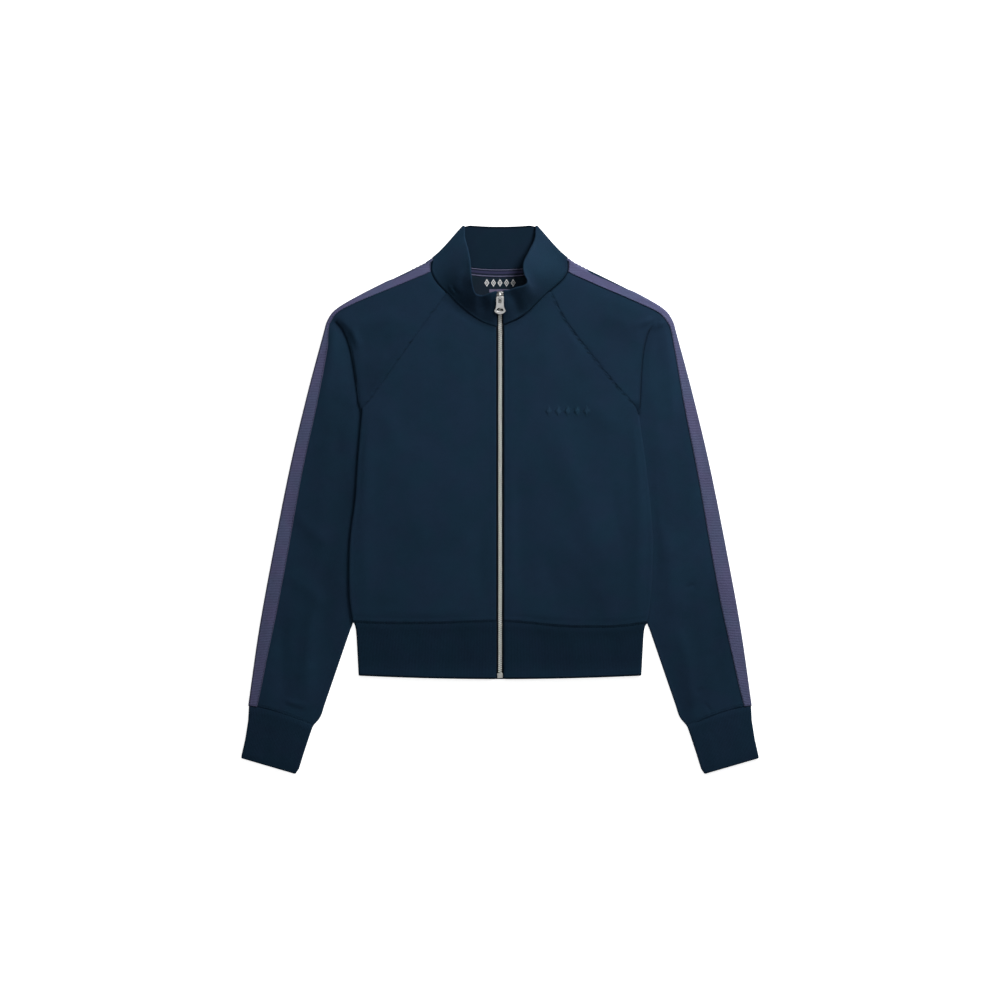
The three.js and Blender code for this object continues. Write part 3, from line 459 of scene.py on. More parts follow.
def finish_cloth(
    tree, shader, height, tone, colour, depth_mm, strength, dark=0.72, light=1.16, wrong_side_shade=1.0
):
    """Colour by height in the knit, painted shade in its grooves and painted light on its crowns, with uneven
    tone, painted shade in the puckers, and the relief of knit and puckers.
    """
    gathered, crumpled = puckers(tree)
    right_side = laid_coordinates(tree)[2].step(0.4, 0.6)
    low, high = [mix_colour(tree, right_side, tinted(colour, share * wrong_side_shade), tinted(colour, share))
                 for share in (dark, light)]
    # Painted shade in the grooves and painted light on the crowns of the knit, by its height.
    shaded = mix_colour(tree, height, low, high)
    toned = mix_colour(tree, tone, tinted((1, 1, 1), 0.76), tinted((1, 1, 1), 1.24))
    hue = mix_colour(tree, cloud(tree, 24, 2).step(0.36, 0.64), (0.94, 1.02, 1.0, 1), (1.08, 0.98, 1.02, 1))
    # Painted shade where the seam's gathers pucker the cloth.
    shade = mix_colour(tree, gathered, (1, 1, 1, 1), (0.6, 0.6, 0.64, 1))
    dyed = times(tree, times(tree, times(tree, shaded, toned), hue), shade)
    # Painted shade and painted light from the cloth's shade attribute scale the colour.
    painted_shade_factor = Dye.node(tree, "Attribute", {"attribute_name": "shade"}, output="Fac") + 1
    tree.links.new(times(tree, dyed, painted_shade_factor).socket, shader.inputs["Base Color"])
    relief = height * depth_mm - gathered * GATHER_DEPTH + crumpled * CRUMPLE_DEPTH
    bump = Dye.node(tree, "Bump", sockets={"Height": relief, "Strength": strength, "Distance": MM})
    tree.links.new(bump.socket, shader.inputs["Normal"])


def knit_height(across, along, wale, course):
    """Columns of V stitches: each wale is a chevron, with a groove between wales."""
    place = (across / wale).fraction()
    from_middle = (place - 0.5).size() * 2
    leg = ((along / course + from_middle * 0.55).fraction() * math.pi).sine()
    crown = 1 - from_middle**4
    return leg * 0.55 * crown + crown * 0.45


GATHER_PITCH = 4.3
GATHER_REACH = 4.6
GATHER_DEPTH = 0.5
CRUMPLE_DEPTH = 2.6


def jersey_material(name, colour, wale=1.05, course=0.8, wrong_side_shade=1.0):
    """Smooth wales on the right side and loops on the wrong side, whose colour can be scaled darker; on the
    collar that is painted shade on its inner face.
    """
    material, tree, shader = new_material(
        name, Roughness=0.9, Specular_IOR_Level=0.05, Sheen_Weight=0.02, Sheen_Roughness=0.45,
        Sheen_Tint=SHEEN_BLUE)
    across, along, side = laid_coordinates(tree)
    height = knit_height(across, along, wale, course)
    loops = (
        ((along / course).fraction() * math.pi).sine() * 0.5
        + ((across / wale * 2).fraction() * math.pi).sine() * 0.4
    )
    height = side.step(0.4, 0.6) * (height - loops) + loops
    finish_cloth(
        tree, shader, height, mottling(tree), colour, depth_mm=0.22, strength=0.6, wrong_side_shade=wrong_side_shade
    )
    return material


NAVY = (0.0084, 0.0232, 0.0445)
navy_jersey = jersey_material("navy_jersey", NAVY)

BACK_CREASES = table(
    "x0 y0 x1 y1 bend width height",
    (-150, 110, -60, 20, 8, 16, 1.8), (-165, 60, -95, -60, -9, 17, 1.5), (150, 105, 70, 10, -8, 16, 1.7),
    (160, 40, 100, -70, 9, 18, 1.5), (-60, 230, 20, 235, 6, 17, 1.3), (-120, -130, -40, -120, 6, 13, 1.4),
    (40, -128, 130, -118, -6, 13, 1.4), (-20, 150, 15, -40, 10, 26, 1.2),
)


def back_panel():
    rows = spaced([BAND_SEAM_Y, BACK_UNDERARM_Y, BACK_TIP_Y], 3)[:, None]
    share = np.linspace(-1, 1, 141)[None, :]
    x, y, z = [np.zeros((rows.size, share.size)) for _ in range(3)]
    for hand, sign in HANDS.items():
        mine = (share[0] < 0) if sign < 0 else (share[0] >= 0)
        part = np.abs(share[:, mine])
        side = mix(body_side(rows, hand), under_arm(rows) - 1, smooth(-80, -104, rows))
        outer = np.where(rows >= BACK_UNDERARM_Y, back_raglan(rows) - GAP / 2, side - 0.4)
        across = outer * part
        dip = (BACK_TIP_Y - BACK_NECK["centre"]) * smooth(250, BACK_TIP_Y, rows)
        up = rows - dip * (1 - part ** BACK_NECK["power"])
        shift = (band_seam_y(across, hand) - BAND_SEAM_Y) * smooth(-120, BAND_SEAM_Y, up)
        settled = back_level(across, up, hand)
        uneven = np.maximum(
            creases(sign * across, up, BACK_CREASES) + 0.35 + ripple(sign * across, up, 0.35, 3), 0
        )
        near_edge = (
            smooth(0, 14, outer * (1 - part)) * smooth(-168, -155, up) * smooth(BACK_TIP_Y - 3, 312, rows)
        )
        under_patch = smooth(78, 62, across) * smooth(246, 262, up)
        near_edge = near_edge * (1 - under_patch)
        x[:, mine] = sign * across
        y[:, mine] = up + shift
        z[:, mine] = settled + uneven * near_edge * (1 - 0.8 * tuck_mask(across, up, hand))
    points = np.stack([x, y, z], -1)
    above = rows[:, 0] > BACK_UNDERARM_Y
    sewn = seam_along(points, (points[above, 0], 0, 0.8), (points[above, -1], 0, 0.8), (points[0], 2.4, 0.7),
                      (points[-1], 0, 0.5))
    return cloth("back_panel", points, JERSEY, np.stack([x, y], -1), -1, navy_jersey, sewn=sewn), points


def surface_area(piece):
    """The cloth's own area in square metres, which is half of its two sides together."""
    return sum(p.area for p in piece.data.polygons) / 2


def as_sheet(piece, nodes, width, length, body="garment"):
    """Fixes a cloth piece on the garment and hides the nodes it replaces. Its cut, in millimetres, is read
    but not kept.
    """
    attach(piece, body)
    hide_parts(*nodes)
    share = min(surface_area(piece) / (width * length * MM * MM), 1)
    width * MM
    share * width * length * MM * MM


back, back_points = back_panel()
as_sheet(back, ["back"], width=426, length=508)

# ---- Front panels ------------------------------------------------------------------
# Two fronts of the same jersey, from the waistband to the collar seam, with the zip sewn
# to their turned-in centre edges. Their sides fold under to the back panel.

front_raglan = both_hands(table(
    "y right left",
    (293, 72, 69.5), (257, 98, 88), (228, 119, 108), (161, 167, 162), (139, 182.5, 182),
    (129, 191, 189.5), (117, 194, 193.5),
))
collar_seam = both_hands(table(
    "y right left",
    (334, 97, 96), (320, 97, 95.2), (309, 93, 90), (298, 84.5, 79), (285, 70.5, 63), (273, 59.5, 51),
    (262, 46.5, 41), (253, 34, 29), (247, 24, 15), (243, 12, 4), (241, 4, 0),
))
over_arm = curve(table(
    "y x",
    (343, 88), (332, 104), (307, 155), (282, 204), (265, 231), (249, 242), (237, 245.5), (153, 268),
    (48, 293), (-78, 318), (-183, 337), (-288, 352),
), "x")

UNDERARM_Y = {"right": 129, "left": 117}
ZIP_SEAM_Y = {"right": 241.2, "left": 243.6}
FRONT_TIP_Y = {"right": 288.1, "left": 290.2}
ZIP_EDGE = 5.9
ZIP_LEVEL = 4
ZIP_RISE = {"start": 248, "slope": 0.45, "blend": 8}
FRONT_LEVEL = 5.4
FRONT_FULLNESS = 0.6
FRONT_LIFT = 0.9
BAND_FRONT_LEVEL = 5.9
FOLD_LEVEL = 4


def over_arm_scale(y):
    return np.hypot(1, (over_arm(y + 2) - over_arm(y - 2)) / 4)


def from_over_arm(x, y):
    return (over_arm(y) - x) / over_arm_scale(y)


def zip_level(y):
    """Level on the body, then climbing with the collar."""
    ahead, blend = y - ZIP_RISE["start"], ZIP_RISE["blend"]
    bent = np.clip(ahead + blend, 0, 2 * blend) ** 2 / (4 * blend)
    return ZIP_LEVEL + ZIP_RISE["slope"] * (bent + np.maximum(ahead - blend, 0))


def front_level(x, y, hand):
    chest = FRONT_LEVEL + FRONT_FULLNESS * smooth(8, 70, x) + FRONT_LIFT * tuck_mask(x, y, hand)
    overhang = smooth(-172, -158, y) * smooth(-100, -140, y)
    climb = (zip_level(y) - ZIP_LEVEL) * smooth(34, 13, x)
    body = mix(BAND_FRONT_LEVEL, chest + climb + 0.8 * overhang, smooth(-171, -160, y))
    return mix(FOLD_LEVEL, body, smooth(0, 30, from_over_arm(x, y)))


FRONT_CREASES = {
    "right": table(
        "x0 y0 x1 y1 bend width height",
        (186, 100, 188, -150, 2, 12, 1.3), (62, 268, 84, 214, -4, 15, 1.2),
        (96, 262, 120, 170, -6, 16, 0.9),
        (30, 228, 34, 120, 3, 15, -0.9), (128, 70, 104, -60, 7, 26, 1.1), (60, 60, 74, -60, -6, 24, 0.8),
        (26, -30, 22, -150, 3, 13, -1.1), (70, -90, 110, -160, 5, 15, 0.7), (160, 120, 130, 60, 5, 12, 0.7),
        (40, -152, 170, -154, -2, 6, 0.4),
    ),
    "left": table(
        "x0 y0 x1 y1 bend width height",
        (190, 96, 190, -150, 5, 10, 1.8), (66, 112, 158, -150, 8, 20, 1.9),
        (84, -57, 157, -160, 4, 12, 0.8),
        (24, 34, 30, -120, 3, 14, -1.1), (58, 262, 78, 160, -7, 16, 1.1), (100, 236, 122, 176, -3, 13, 0.6),
        (34, 222, 38, 130, 3, 15, 0.9), (110, 150, 170, 96, -5, 15, 0.9), (56, -70, 84, -156, 4, 12, -0.8),
        (160, 20, 172, -60, -4, 9, -0.8), (30, -153, 110, -158, -1, 6, 0.4),
    ),
}


# Painted light and shade in soft patches on the fronts, and painted shade along the collar seam.
FRONT_SHADE = {
    "right": table("x y half_width half_height share", (105, 205, 22, 60, 0.05), (150, -140, 50, 40, -0.05)),
    "left": table("x y half_width half_height share", (140, -125, 62, 60, -0.15), (60, -60, 30, 90, -0.03)),
}
BY_COLLAR = {"right": -0.2, "left": -0.07}
ARM_SEAM_PULL = {"right": 0.3, "left": 0.6}
ZIP_STITCHES_IN = 6.5


def soft_shade(points, rows):
    """Soft patches of painted shade and painted light in the colour. It is fixed colour, the same under any
    light.
    """
    x, y = np.abs(points[..., 0]), points[..., 1]
    shade = np.zeros_like(x)
    columns = (rows[name] for name in "x y half_width half_height share".split())
    for x0, y0, half_width, half_height, share in zip(*columns):
        shade += share * np.exp(-(((x - x0) / half_width) ** 2) - ((y - y0) / half_height) ** 2)
    return shade


def front_shade(x, y, inner, hand):
    """Painted shade along the waistband and collar seams, and painted shade and light in soft patches on the
    front.
    """
    by_band = -0.2 * np.exp(-(((y - BAND_SEAM_Y - 1.5) / 3.4) ** 2))
    near_top = smooth(ZIP_SEAM_Y[hand] - 10, ZIP_SEAM_Y[hand] + 1, y)
    by_collar = BY_COLLAR[hand] * smooth(22, 5, x - inner) * near_top
    return soft_shade(np.stack(np.broadcast_arrays(x, y), -1), FRONT_SHADE[hand]) + by_band + by_collar


def front_panel(hand):
    sign = HANDS[hand]
    top, underarm = ZIP_SEAM_Y[hand], UNDERARM_Y[hand]
    rows = spaced([BAND_SEAM_Y - 0.6, BAND_SEAM_Y + 9, underarm, top, FRONT_TIP_Y[hand]], 2.4)[:, None]
    share = crowded(96)[None, :]
    inner = np.where(rows <= top, ZIP_EDGE, np.maximum(collar_seam(rows, hand) - 0.2, ZIP_EDGE))
    seam = front_raglan(rows, hand) - 0.1
    outer = np.where(rows > underarm, seam, body_side(rows, hand) - 0.45)
    outer = np.maximum(outer, inner + 0.8)
    x = mix(inner, outer, share)
    y = rows + (band_seam_y(x, hand) - BAND_SEAM_Y) * smooth(-120, BAND_SEAM_Y, rows)
    z = front_level(x, rows, hand)
    inside = smooth(0, 12, outer - x) * smooth(2, 22, x - inner) * smooth(-170, -158, rows)
    z = z + inside * (creases(x, rows, FRONT_CREASES[hand]) + ripple(x, rows, 0.3, 5 + sign))
    along_side = rows <= underarm
    z = z - np.where(along_side, edge_drop(outer - x, 3.2, 1.15), edge_drop(outer - x, 1.6, 0.3))
    z = z - edge_drop(x - inner, 1.6, np.where(rows > top, 0.15, 0.5))
    z = z + 0.8 * np.exp(-(((rows - BAND_SEAM_Y - 3) / 2.4) ** 2))
    z = z - edge_drop(rows - BAND_SEAM_Y + 0.6, 1.5, 1.0)
    points = np.stack([sign * x, y, z], -1)
    lay = np.stack([sign * x + np.zeros_like(y), y], -1)
    by_arm, by_collar = rows[:, 0] > underarm, rows[:, 0] >= top
    sewn = seam_along(points, (points[by_arm, -1], 0, ARM_SEAM_PULL[hand]), (points[by_collar, 0], 1, 0.55),
                      (points[~by_collar, 0], ZIP_STITCHES_IN, 0.12), (points[0], 2.4, 0.6))
    return cloth(f"front_panel_{hand}", points, JERSEY, lay, sign, navy_jersey, sewn=sewn,
                 shade=front_shade(x, rows, inner, hand)), points


fronts = {}
for hand in HANDS:
    panel, fronts[hand] = front_panel(hand)
    as_sheet(
        panel, [f"front_{hand}"],
        width=212, length=470,
    )

# ---- Sleeves -----------------------------------------------------------------------
# Each raglan sleeve is one piece of the jersey, folded along the over-arm and sewn along
# the underarm. The body's side lies over its underarm fold, and it narrows to the cuff.

armhole_fold = both_hands(table(
    "y right left",
    (256, 238, 225), (240, 221, 210), (215, 210, 201.5), (181, 203.5, 197.5), (150, 199, 196),
    (117, 194.5, 195),
))
stripe_shown = both_hands(table(
    "y right left",
    (332, 13.5, 13.5), (312, 14, 15.5), (270, 6, 10.5), (253, 4.5, 8), (238, 5, 6), (212, 10.5, 8),
    (139, 16, 14.5), (60, 17.5, 18), (-141, 20, 21), (-253, 14.5, 14), (-288, 12, 10),
))

CUFF_SEAM_Y = -287.6
CUFF_SEAM_DROP = 29
SLEEVE_TOP_Y = 336.4
TUCKED_LEVEL = 2.6
SLEEVE_LEVEL = 4.8
FOLD_UNDER_LEVEL = 2.2
STRIPE = 0.9
STRIPE_WIDTH = 28
FOLD_UNDER_TAPE = 0.9
ARMHOLE = {
    "right": {
        "roll": 13, "sunk": 1.7, "foot": 2.4, "steep": 0, "rise": (1.5, 26), "crown": 1.3,
        "top": (256, 243), "shade": -0.28, "width": 2.6,
    },
    "left": {
        "roll": 1.4, "sunk": 0.4, "foot": 2.4, "steep": 0.55, "rise": (0, 13), "crown": 0.2,
        "top": (246, 236), "shade": -0.34, "width": 1.9,
    },
}
COMES_OUT = {"right": 62, "left": 27}
ARM_SIDE_ROLL = {"right": (16, 1.5), "left": (7, 0.55)}
SLEEVE_COLUMNS = 76
SLEEVE_BACK_COLUMNS = 52
# Painted shade and light in soft patches on the sleeves' fronts.
SLEEVE_SHADE = {
    "right": table(
        "x y half_width half_height share",
        (236, 30, 24, 120, -0.17), (236, -140, 22, 80, -0.16), (206, -5, 16, 62, -0.2),
        (180, 170, 26, 26, -0.12),
    ),
    "left": table(
        "x y half_width half_height share",
        (285, -205, 50, 90, -0.18), (160, 245, 52, 34, -0.14), (238, 165, 14, 60, 0.08),
        (300, -60, 16, 90, 0.03),
    ),
}


def cuff_seam_drop(y):
    return CUFF_SEAM_DROP * smooth(-100, CUFF_SEAM_Y, y)


def front_sleeve_inner(y, hand):
    lower = np.where(y >= UNDERARM_Y[hand], front_raglan(y, hand) + 0.1, under_arm(y))
    return np.where(y > FRONT_TIP_Y[hand], collar_seam(y, hand) - 0.2, lower)


def back_sleeve_inner(y):
    above = np.maximum(y + GAP - BACK_NECK["centre"], 0) / BACK_NECK["rise"]
    neck_edge = BACK_NECK["half_width"] * above ** (1 / BACK_NECK["power"])
    lower = np.where(y >= BACK_UNDERARM_Y, back_raglan(y) + GAP / 2, under_arm(y))
    return np.where(y > BACK_TIP_Y, neck_edge, lower)


def sleeve_front_level(x, y, hand):
    """The front of the sleeve comes out from under the body's side, or from the fold above it."""
    fold, armhole = armhole_fold(y, hand), ARMHOLE[hand]
    covered = np.where(y > TUCK["full"], fold, np.maximum(body_side(y, hand), under_arm(y)))
    opened = mix(TUCKED_LEVEL, SLEEVE_LEVEL, smooth(1, COMES_OUT[hand], x - covered))
    steep = armhole["steep"]
    rise = steep * smooth(0, 2.6, x - fold) + (1 - steep) * smooth(*armhole["rise"], x - fold)
    risen = mix(armhole["foot"], SLEEVE_LEVEL, rise)
    opened = mix(opened, risen, smooth(TUCK["full"], 152, y))
    sleeve = mix(FOLD_LEVEL, opened, smooth(0, 16, from_over_arm(x, y)))
    before_fold = (x <= fold + 0.05) * smooth(TUCK["full"] - 4, 140, y)
    high, low = armhole["top"]
    folded = smooth(high, low, y) * smooth(120, 145, y)
    sunk_edge = edge_drop(np.maximum(fold - x, 0), armhole["roll"], armhole["sunk"])
    rolled = front_level(x, y, hand) - folded * sunk_edge
    crown = armhole["crown"] * np.exp(-(((fold - x - 9) / 6) ** 2))
    crown = crown * smooth(205, 232, y) * smooth(262, 246, y)
    return mix(sleeve, rolled + crown, np.maximum(before_fold, smooth(low - 3, high + 1, y)))


def fold_shade(x, y, hand):
    """Painted shade down in the fold beside the body, which the shallow fold doesn't shade enough."""
    armhole, (high, low) = ARMHOLE[hand], ARMHOLE[hand]["top"]
    in_fold = np.exp(-(((x - armhole_fold(y, hand) - 0.4) / armhole["width"]) ** 2))
    return armhole["shade"] * in_fold * smooth(high, low, y) * smooth(105, 130, y)


def tracked(inner, outer, line, rows):
    """Columns from 0 to 1 across the sleeve, crowded beside the fold while the rows cross it."""
    half = crowded(SLEEVE_COLUMNS // 2, 0.75)[None, :]
    follows = smooth(104, 128, rows) * smooth(272, 252, rows)
    at_line = mix(0.5, np.clip((line - inner) / (outer - inner), 0.06, 0.92), follows)
    return np.concatenate([half * at_line, at_line + (half + 0.55 / (outer - inner)) * (1 - at_line)
                           / (1 + 0.55 / (outer - inner))], 1)


SLEEVE_CREASES = {
    "right": table(
        "x0 y0 x1 y1 bend width height",
        (258, -140, 270, -280, 4, 11, 2.2), (305, -170, 300, -284, 2, 10, -1.4),
        (240, 60, 250, -100, 6, 16, 1.7),
        (290, 80, 300, -60, 4, 13, -1.2), (236, 240, 250, 130, -5, 9, 1.6),
        (214, 150, 228, 60, 4, 10, -1.2),
        (285, -20, 240, -60, 4, 10, 1.1), (300, -105, 245, -150, -4, 11, 1.1),
        (302, -280, 272, -287, 2, 3.5, 1.0),
        (300, -287, 276, -295, 1, 2.2, -0.7), (140, 256, 210, 234, 6, 13, 1.3),
        (188, 205, 158, 230, 4, 10, -0.8),
        (196, 247, 234, 262, -3, 8, 1.3), (206, 242, 198, 214, 1, 6, 1.5),
        (262, -232, 284, -250, 2, 6, 0.8), (232, -60, 250, -120, 3, 8, -0.9),
    ),
    "left": table(
        "x0 y0 x1 y1 bend width height",
        (248, -180, 270, -282, 4, 10, 2.0), (302, -120, 308, -262, -3, 14, -1.3),
        (230, -50, 242, -170, 4, 14, 1.6),
        (230, 235, 242, 110, 4, 10, 1.7), (262, 110, 268, -40, 6, 15, 1.3), (292, 0, 242, -74, 5, 11, 1.2),
        (288, -228, 262, -290, 3, 7, 1.3), (284, -286, 296, -297, 1, 2.4, -0.7),
        (188, 243, 228, 250, 3, 6, 1.8),
        (146, 258, 196, 224, 5, 13, 1.2), (272, -119, 260, -124, 0, 3, -1.0),
        (284, -265, 276, -271, 0, 3, -1.0),
        (300, 60, 276, 10, 3, 9, -0.8), (214, 30, 226, -50, -3, 8, 1.0), (204, 245, 232, 252, -3, 6, 1.7),
    ),
}


def sleeve_profile(hand, rows):
    """The middle of the cloth from the front edge, round the over-arm fold, to the back edge."""
    drop = cuff_seam_drop(rows)
    scale = over_arm_scale(rows)
    radius = (FOLD_LEVEL - FOLD_UNDER_LEVEL) / 2
    outer = over_arm(rows) - (FOLD_UNDER_TAPE + radius) * scale

    def strip(inner, share):
        x = mix(inner, outer, share)
        return x, rows - drop * (1 - share) ** 1.5, x - inner

    front_inner = np.minimum(front_sleeve_inner(rows - drop, hand), outer - 2)
    columns = tracked(front_inner + 0.3, outer, armhole_fold(rows, hand), rows)
    x, y, from_inner = strip(front_inner + 0.3, columns)
    z = sleeve_front_level(x, y, hand)
    roll, depth = ARM_SIDE_ROLL[hand]
    if hand == "right":
        z = z - (
            depth * smooth(0, roll, from_inner) * smooth(252, 215, y) * smooth(118, 140, y)
            * (x < armhole_fold(y, hand))
        )
    room = smooth(0, 12, from_inner) * smooth(2, 16, from_over_arm(x, y))
    covered = np.where(y > TUCK["full"], armhole_fold(y, hand), body_side(y, hand))
    open_air = np.maximum(smooth(2, 14, np.abs(x - covered)), smooth(-150, -180, y))
    z = z + room * open_air * (creases(x, y, SLEEVE_CREASES[hand]) + ripple(x, y, 0.35, 11 + HANDS[hand]))
    seam_meets = rows - drop < UNDERARM_Y[hand]
    mid = (sleeve_front_level(front_inner, rows - drop, hand) + FLOOR_LEVEL) / 2
    fall = np.where(seam_meets, sleeve_front_level(front_inner, rows - drop, hand) - mid, min(depth, 0.55))
    z = z - edge_drop(from_inner, np.where(seam_meets, 2.8, min(roll, 7)), fall)
    front = np.stack([x, y, z], -1)

    turn = np.linspace(0, math.pi, 11)[None, 1:-1]
    middle = (FOLD_LEVEL + FOLD_UNDER_LEVEL) / 2
    fold_x = outer + radius * scale * np.sin(turn)
    fold = np.stack([fold_x, rows + 0 * turn, middle + radius * np.cos(turn) + 0 * rows], -1)

    back_inner = np.minimum(back_sleeve_inner(rows - drop), outer - 2)
    x, y, from_inner = strip(back_inner + 0.5, crowded(SLEEVE_BACK_COLUMNS)[None, :])
    from_edge = from_over_arm(x, y)
    behind = np.maximum(STRIPE_WIDTH - 4 - stripe_shown(y, hand), 3)
    z = mix(FLOOR_LEVEL, FOLD_UNDER_LEVEL, smooth(behind + 10, behind + 1, from_edge))
    lift = np.maximum(creases(x, y, SLEEVE_CREASES[hand]) * 0.6 + 0.3 + ripple(x, y, 0.3, 21), 0)
    free = smooth(0, 12, from_inner) * smooth(behind + 12, behind + 26, from_edge)
    z = z + lift * free * np.maximum(smooth(-150, -190, y), 0.3)
    z = z + edge_drop(from_inner, 2.8, np.where(seam_meets, mid - FLOOR_LEVEL, 0))
    back = np.stack([x, y, z], -1)[:, ::-1]
    return np.concatenate([front, fold, back], 1)


SLEEVE_ROWS = {
    hand: spaced(
        [CUFF_SEAM_Y - 1.3, UNDERARM_Y[hand], FRONT_TIP_Y[hand], BACK_TIP_Y, SLEEVE_TOP_Y], 2.6
    )[:, None]
    for hand in HANDS
}
ARM_LEAN = math.atan2(0.205, 1)


def arm_lay(points):
    """Thread directions of a sleeve: wales run down the arm, which leans away from the body."""
    x, y = np.abs(points[..., 0]), points[..., 1]
    across = x * math.cos(ARM_LEAN) + y * math.sin(ARM_LEAN)
    return np.stack([across, y * math.cos(ARM_LEAN) - x * math.sin(ARM_LEAN)], -1)


sleeves = {}
for hand, sign in HANDS.items():
    profile = sleeve_profile(hand, SLEEVE_ROWS[hand])
    sleeves[hand] = profile * (sign, 1, 1)
    above = SLEEVE_ROWS[hand][:, 0] > UNDERARM_Y[hand]
    front_seam, back_seam = sleeves[hand][above, 0], sleeves[hand][above, -1]
    sewn = seam_along(sleeves[hand], (front_seam, 0, ARM_SEAM_PULL[hand]), (back_seam, 0, 0.8),
                      (sleeves[hand][0], 2, 0.7))
    on_front = np.arange(sleeves[hand].shape[1]) < SLEEVE_COLUMNS
    # Painted shade and light on the sleeve's front: soft patches and the armhole fold.
    sleeve_shade = soft_shade(sleeves[hand], SLEEVE_SHADE[hand])
    sleeve_shade = sleeve_shade + fold_shade(np.abs(sleeves[hand][..., 0]), sleeves[hand][..., 1], hand)
    piece = cloth(
        f"sleeve_{hand}", sleeves[hand], JERSEY, arm_lay(sleeves[hand]), sign, navy_jersey,
        sewn=sewn, shade=on_front * sleeve_shade,
    )
    as_sheet(
        piece, [f"sleeve_{hand}_front", f"sleeve_{hand}_back"],
        width=285, length=750,
    )

# ---- Raglan seam stitches ------------------------------------------------------------
# Every raglan seam is covered by a twin row of navy polyester thread, one row on the body
# and one on the sleeve. On the front seams a third thread crosses over from row to row, and
# only some of their stitches show.

THREAD_COLOUR = (0.0118, 0.0315, 0.0560)
THREAD = 0.65
STITCH_PITCH = 3.9
STITCH_GAP = 0.9
SEAM_ROW_IN = 2.3
SEAM_SHOWN = {"right": 0.1, "left": 0.34}
FLUSH = -0.2


def thread_material(name, colour):
    """Two dull plies twisted round one another."""
    material, tree, shader = new_material(name, Roughness=0.85, Specular_IOR_Level=0.03)
    across, along, side = laid_coordinates(tree)
    twist = (((across + along * 1.4) / 0.8).fraction() * math.pi).sine()
    finish_cloth(tree, shader, twist, cloud(tree, 240, 2), colour, depth_mm=0.12, strength=0.6, dark=0.6)
    return material


navy_thread = thread_material("navy_thread", THREAD_COLOUR)
# A darker copy of the navy thread: painted shade on the front raglan seams' stitches.
painted_shade_thread = thread_material("painted_shade_thread", tuple(c * 0.72 for c in THREAD_COLOUR))
embroidery_thread = thread_material("embroidery_thread", tuple(c * 1.15 for c in THREAD_COLOUR))


def inset_line(points, outward, distance, lift=0.0):
    """The line at a distance in from a grid's first column, and the way out of the cloth there."""
    line, out = [], []
    for row, normal in zip(points, outward):
        arc = np.concatenate([[0], np.cumsum(np.linalg.norm(np.diff(row, axis=0), axis=1))])
        line.append([np.interp(distance, arc, row[:, k]) for k in range(3)])
        out.append([np.interp(distance, arc, normal[:, k]) for k in range(3)])
    return np.array(line) + np.array(out) * lift, np.array(out)


def turned(points, outward):
    """The same grid with its rows and columns exchanged."""
    return points.transpose(1, 0, 2), outward.transpose(1, 0, 2)


def along_line(line, places):
    run = np.concatenate([[0], np.cumsum(np.linalg.norm(np.diff(line[0], axis=0), axis=1))])
    return [np.stack([np.interp(places, run, part[:, k]) for k in range(3)], -1) for part in line]


def line_length(line):
    return float(np.linalg.norm(np.diff(line[0], axis=0), axis=1).sum())


def stitch_row(line, pitch=STITCH_PITCH, gap=STITCH_GAP):
    """The start, the end and the way out of each stitch along a line."""
    first = np.arange(pitch / 2, line_length(line) - pitch, pitch)
    start, _ = along_line(line, first)
    end, out = along_line(line, first + pitch - gap)
    return start, end, out


def crossing(one, other, pitch=STITCH_PITCH):
    """A thread that runs to and fro between two lines of the same seam."""
    step = np.arange(pitch / 2, min(line_length(one), line_length(other)) - pitch, pitch)
    near, out = along_line(one, step)
    far, _ = along_line(other, step + pitch / 2)
    again, _ = along_line(one, step + pitch)
    lift = out * 0.25
    return [(near + lift, far + lift, out), (far + lift, again + lift, out)]


def threads(name, rows, material, thickness=THREAD):
    """Short lengths of thread whose ends dive into the cloth."""
    start, end, out = (np.concatenate(part) for part in zip(*rows))
    out = out / np.linalg.norm(out, axis=1, keepdims=True)
    run = end - start
    length = np.linalg.norm(run, axis=1, keepdims=True)
    side = np.cross(out, run / length)
    turns = np.arange(6) * math.tau / 6
    places, laid = [], []
    for t, size, sink in ((0, 0.45, 0.55), (0.2, 1, 0), (0.8, 1, 0), (1, 0.45, 0.55)):
        middle = start + run * t - out * sink * thickness
        for turn in turns:
            ray = out * (0.8 * math.cos(turn)) + side * math.sin(turn)
            places.append(middle + ray * size * thickness / 2)
            laid.append(np.column_stack(
                [np.full(len(run), turn * thickness / 2), length[:, 0] * t, np.ones(len(run))]
            ))
    ring = np.arange(6)
    after = (ring + 1) % 6
    sides = [np.stack([r + ring, r + 6 + ring, r + 6 + after, r + after], -1) for r in (0, 6, 12)]
    ends = np.array([(0, 1, 2, 3), (0, 3, 4, 5), (18, 21, 20, 19), (18, 23, 22, 21)])
    one = np.concatenate([*sides, ends])
    faces = (one[None] + 24 * np.arange(len(run))[:, None, None]).reshape(-1, 4)
    return solid_mesh(
        name, np.stack(places, 1).reshape(-1, 3), faces, material, np.stack(laid, 1).reshape(-1, 3)
    )


def uneven(rows, shown, seed):
    """The stitches that show, some slack and some pulled askew: the rest have sunk into the cloth."""
    dice = np.random.default_rng(seed)
    kept = []
    for start, end, out in rows:
        here = dice.uniform(size=len(start)) < shown
        slip = [dice.normal(0, 0.45, start.shape) * (1, 1, 0.2) for _ in range(2)]
        kept.append(((start + slip[0])[here], (end + slip[1])[here], out[here]))
    return kept


def sewn_on(piece):
    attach(piece, "garment")


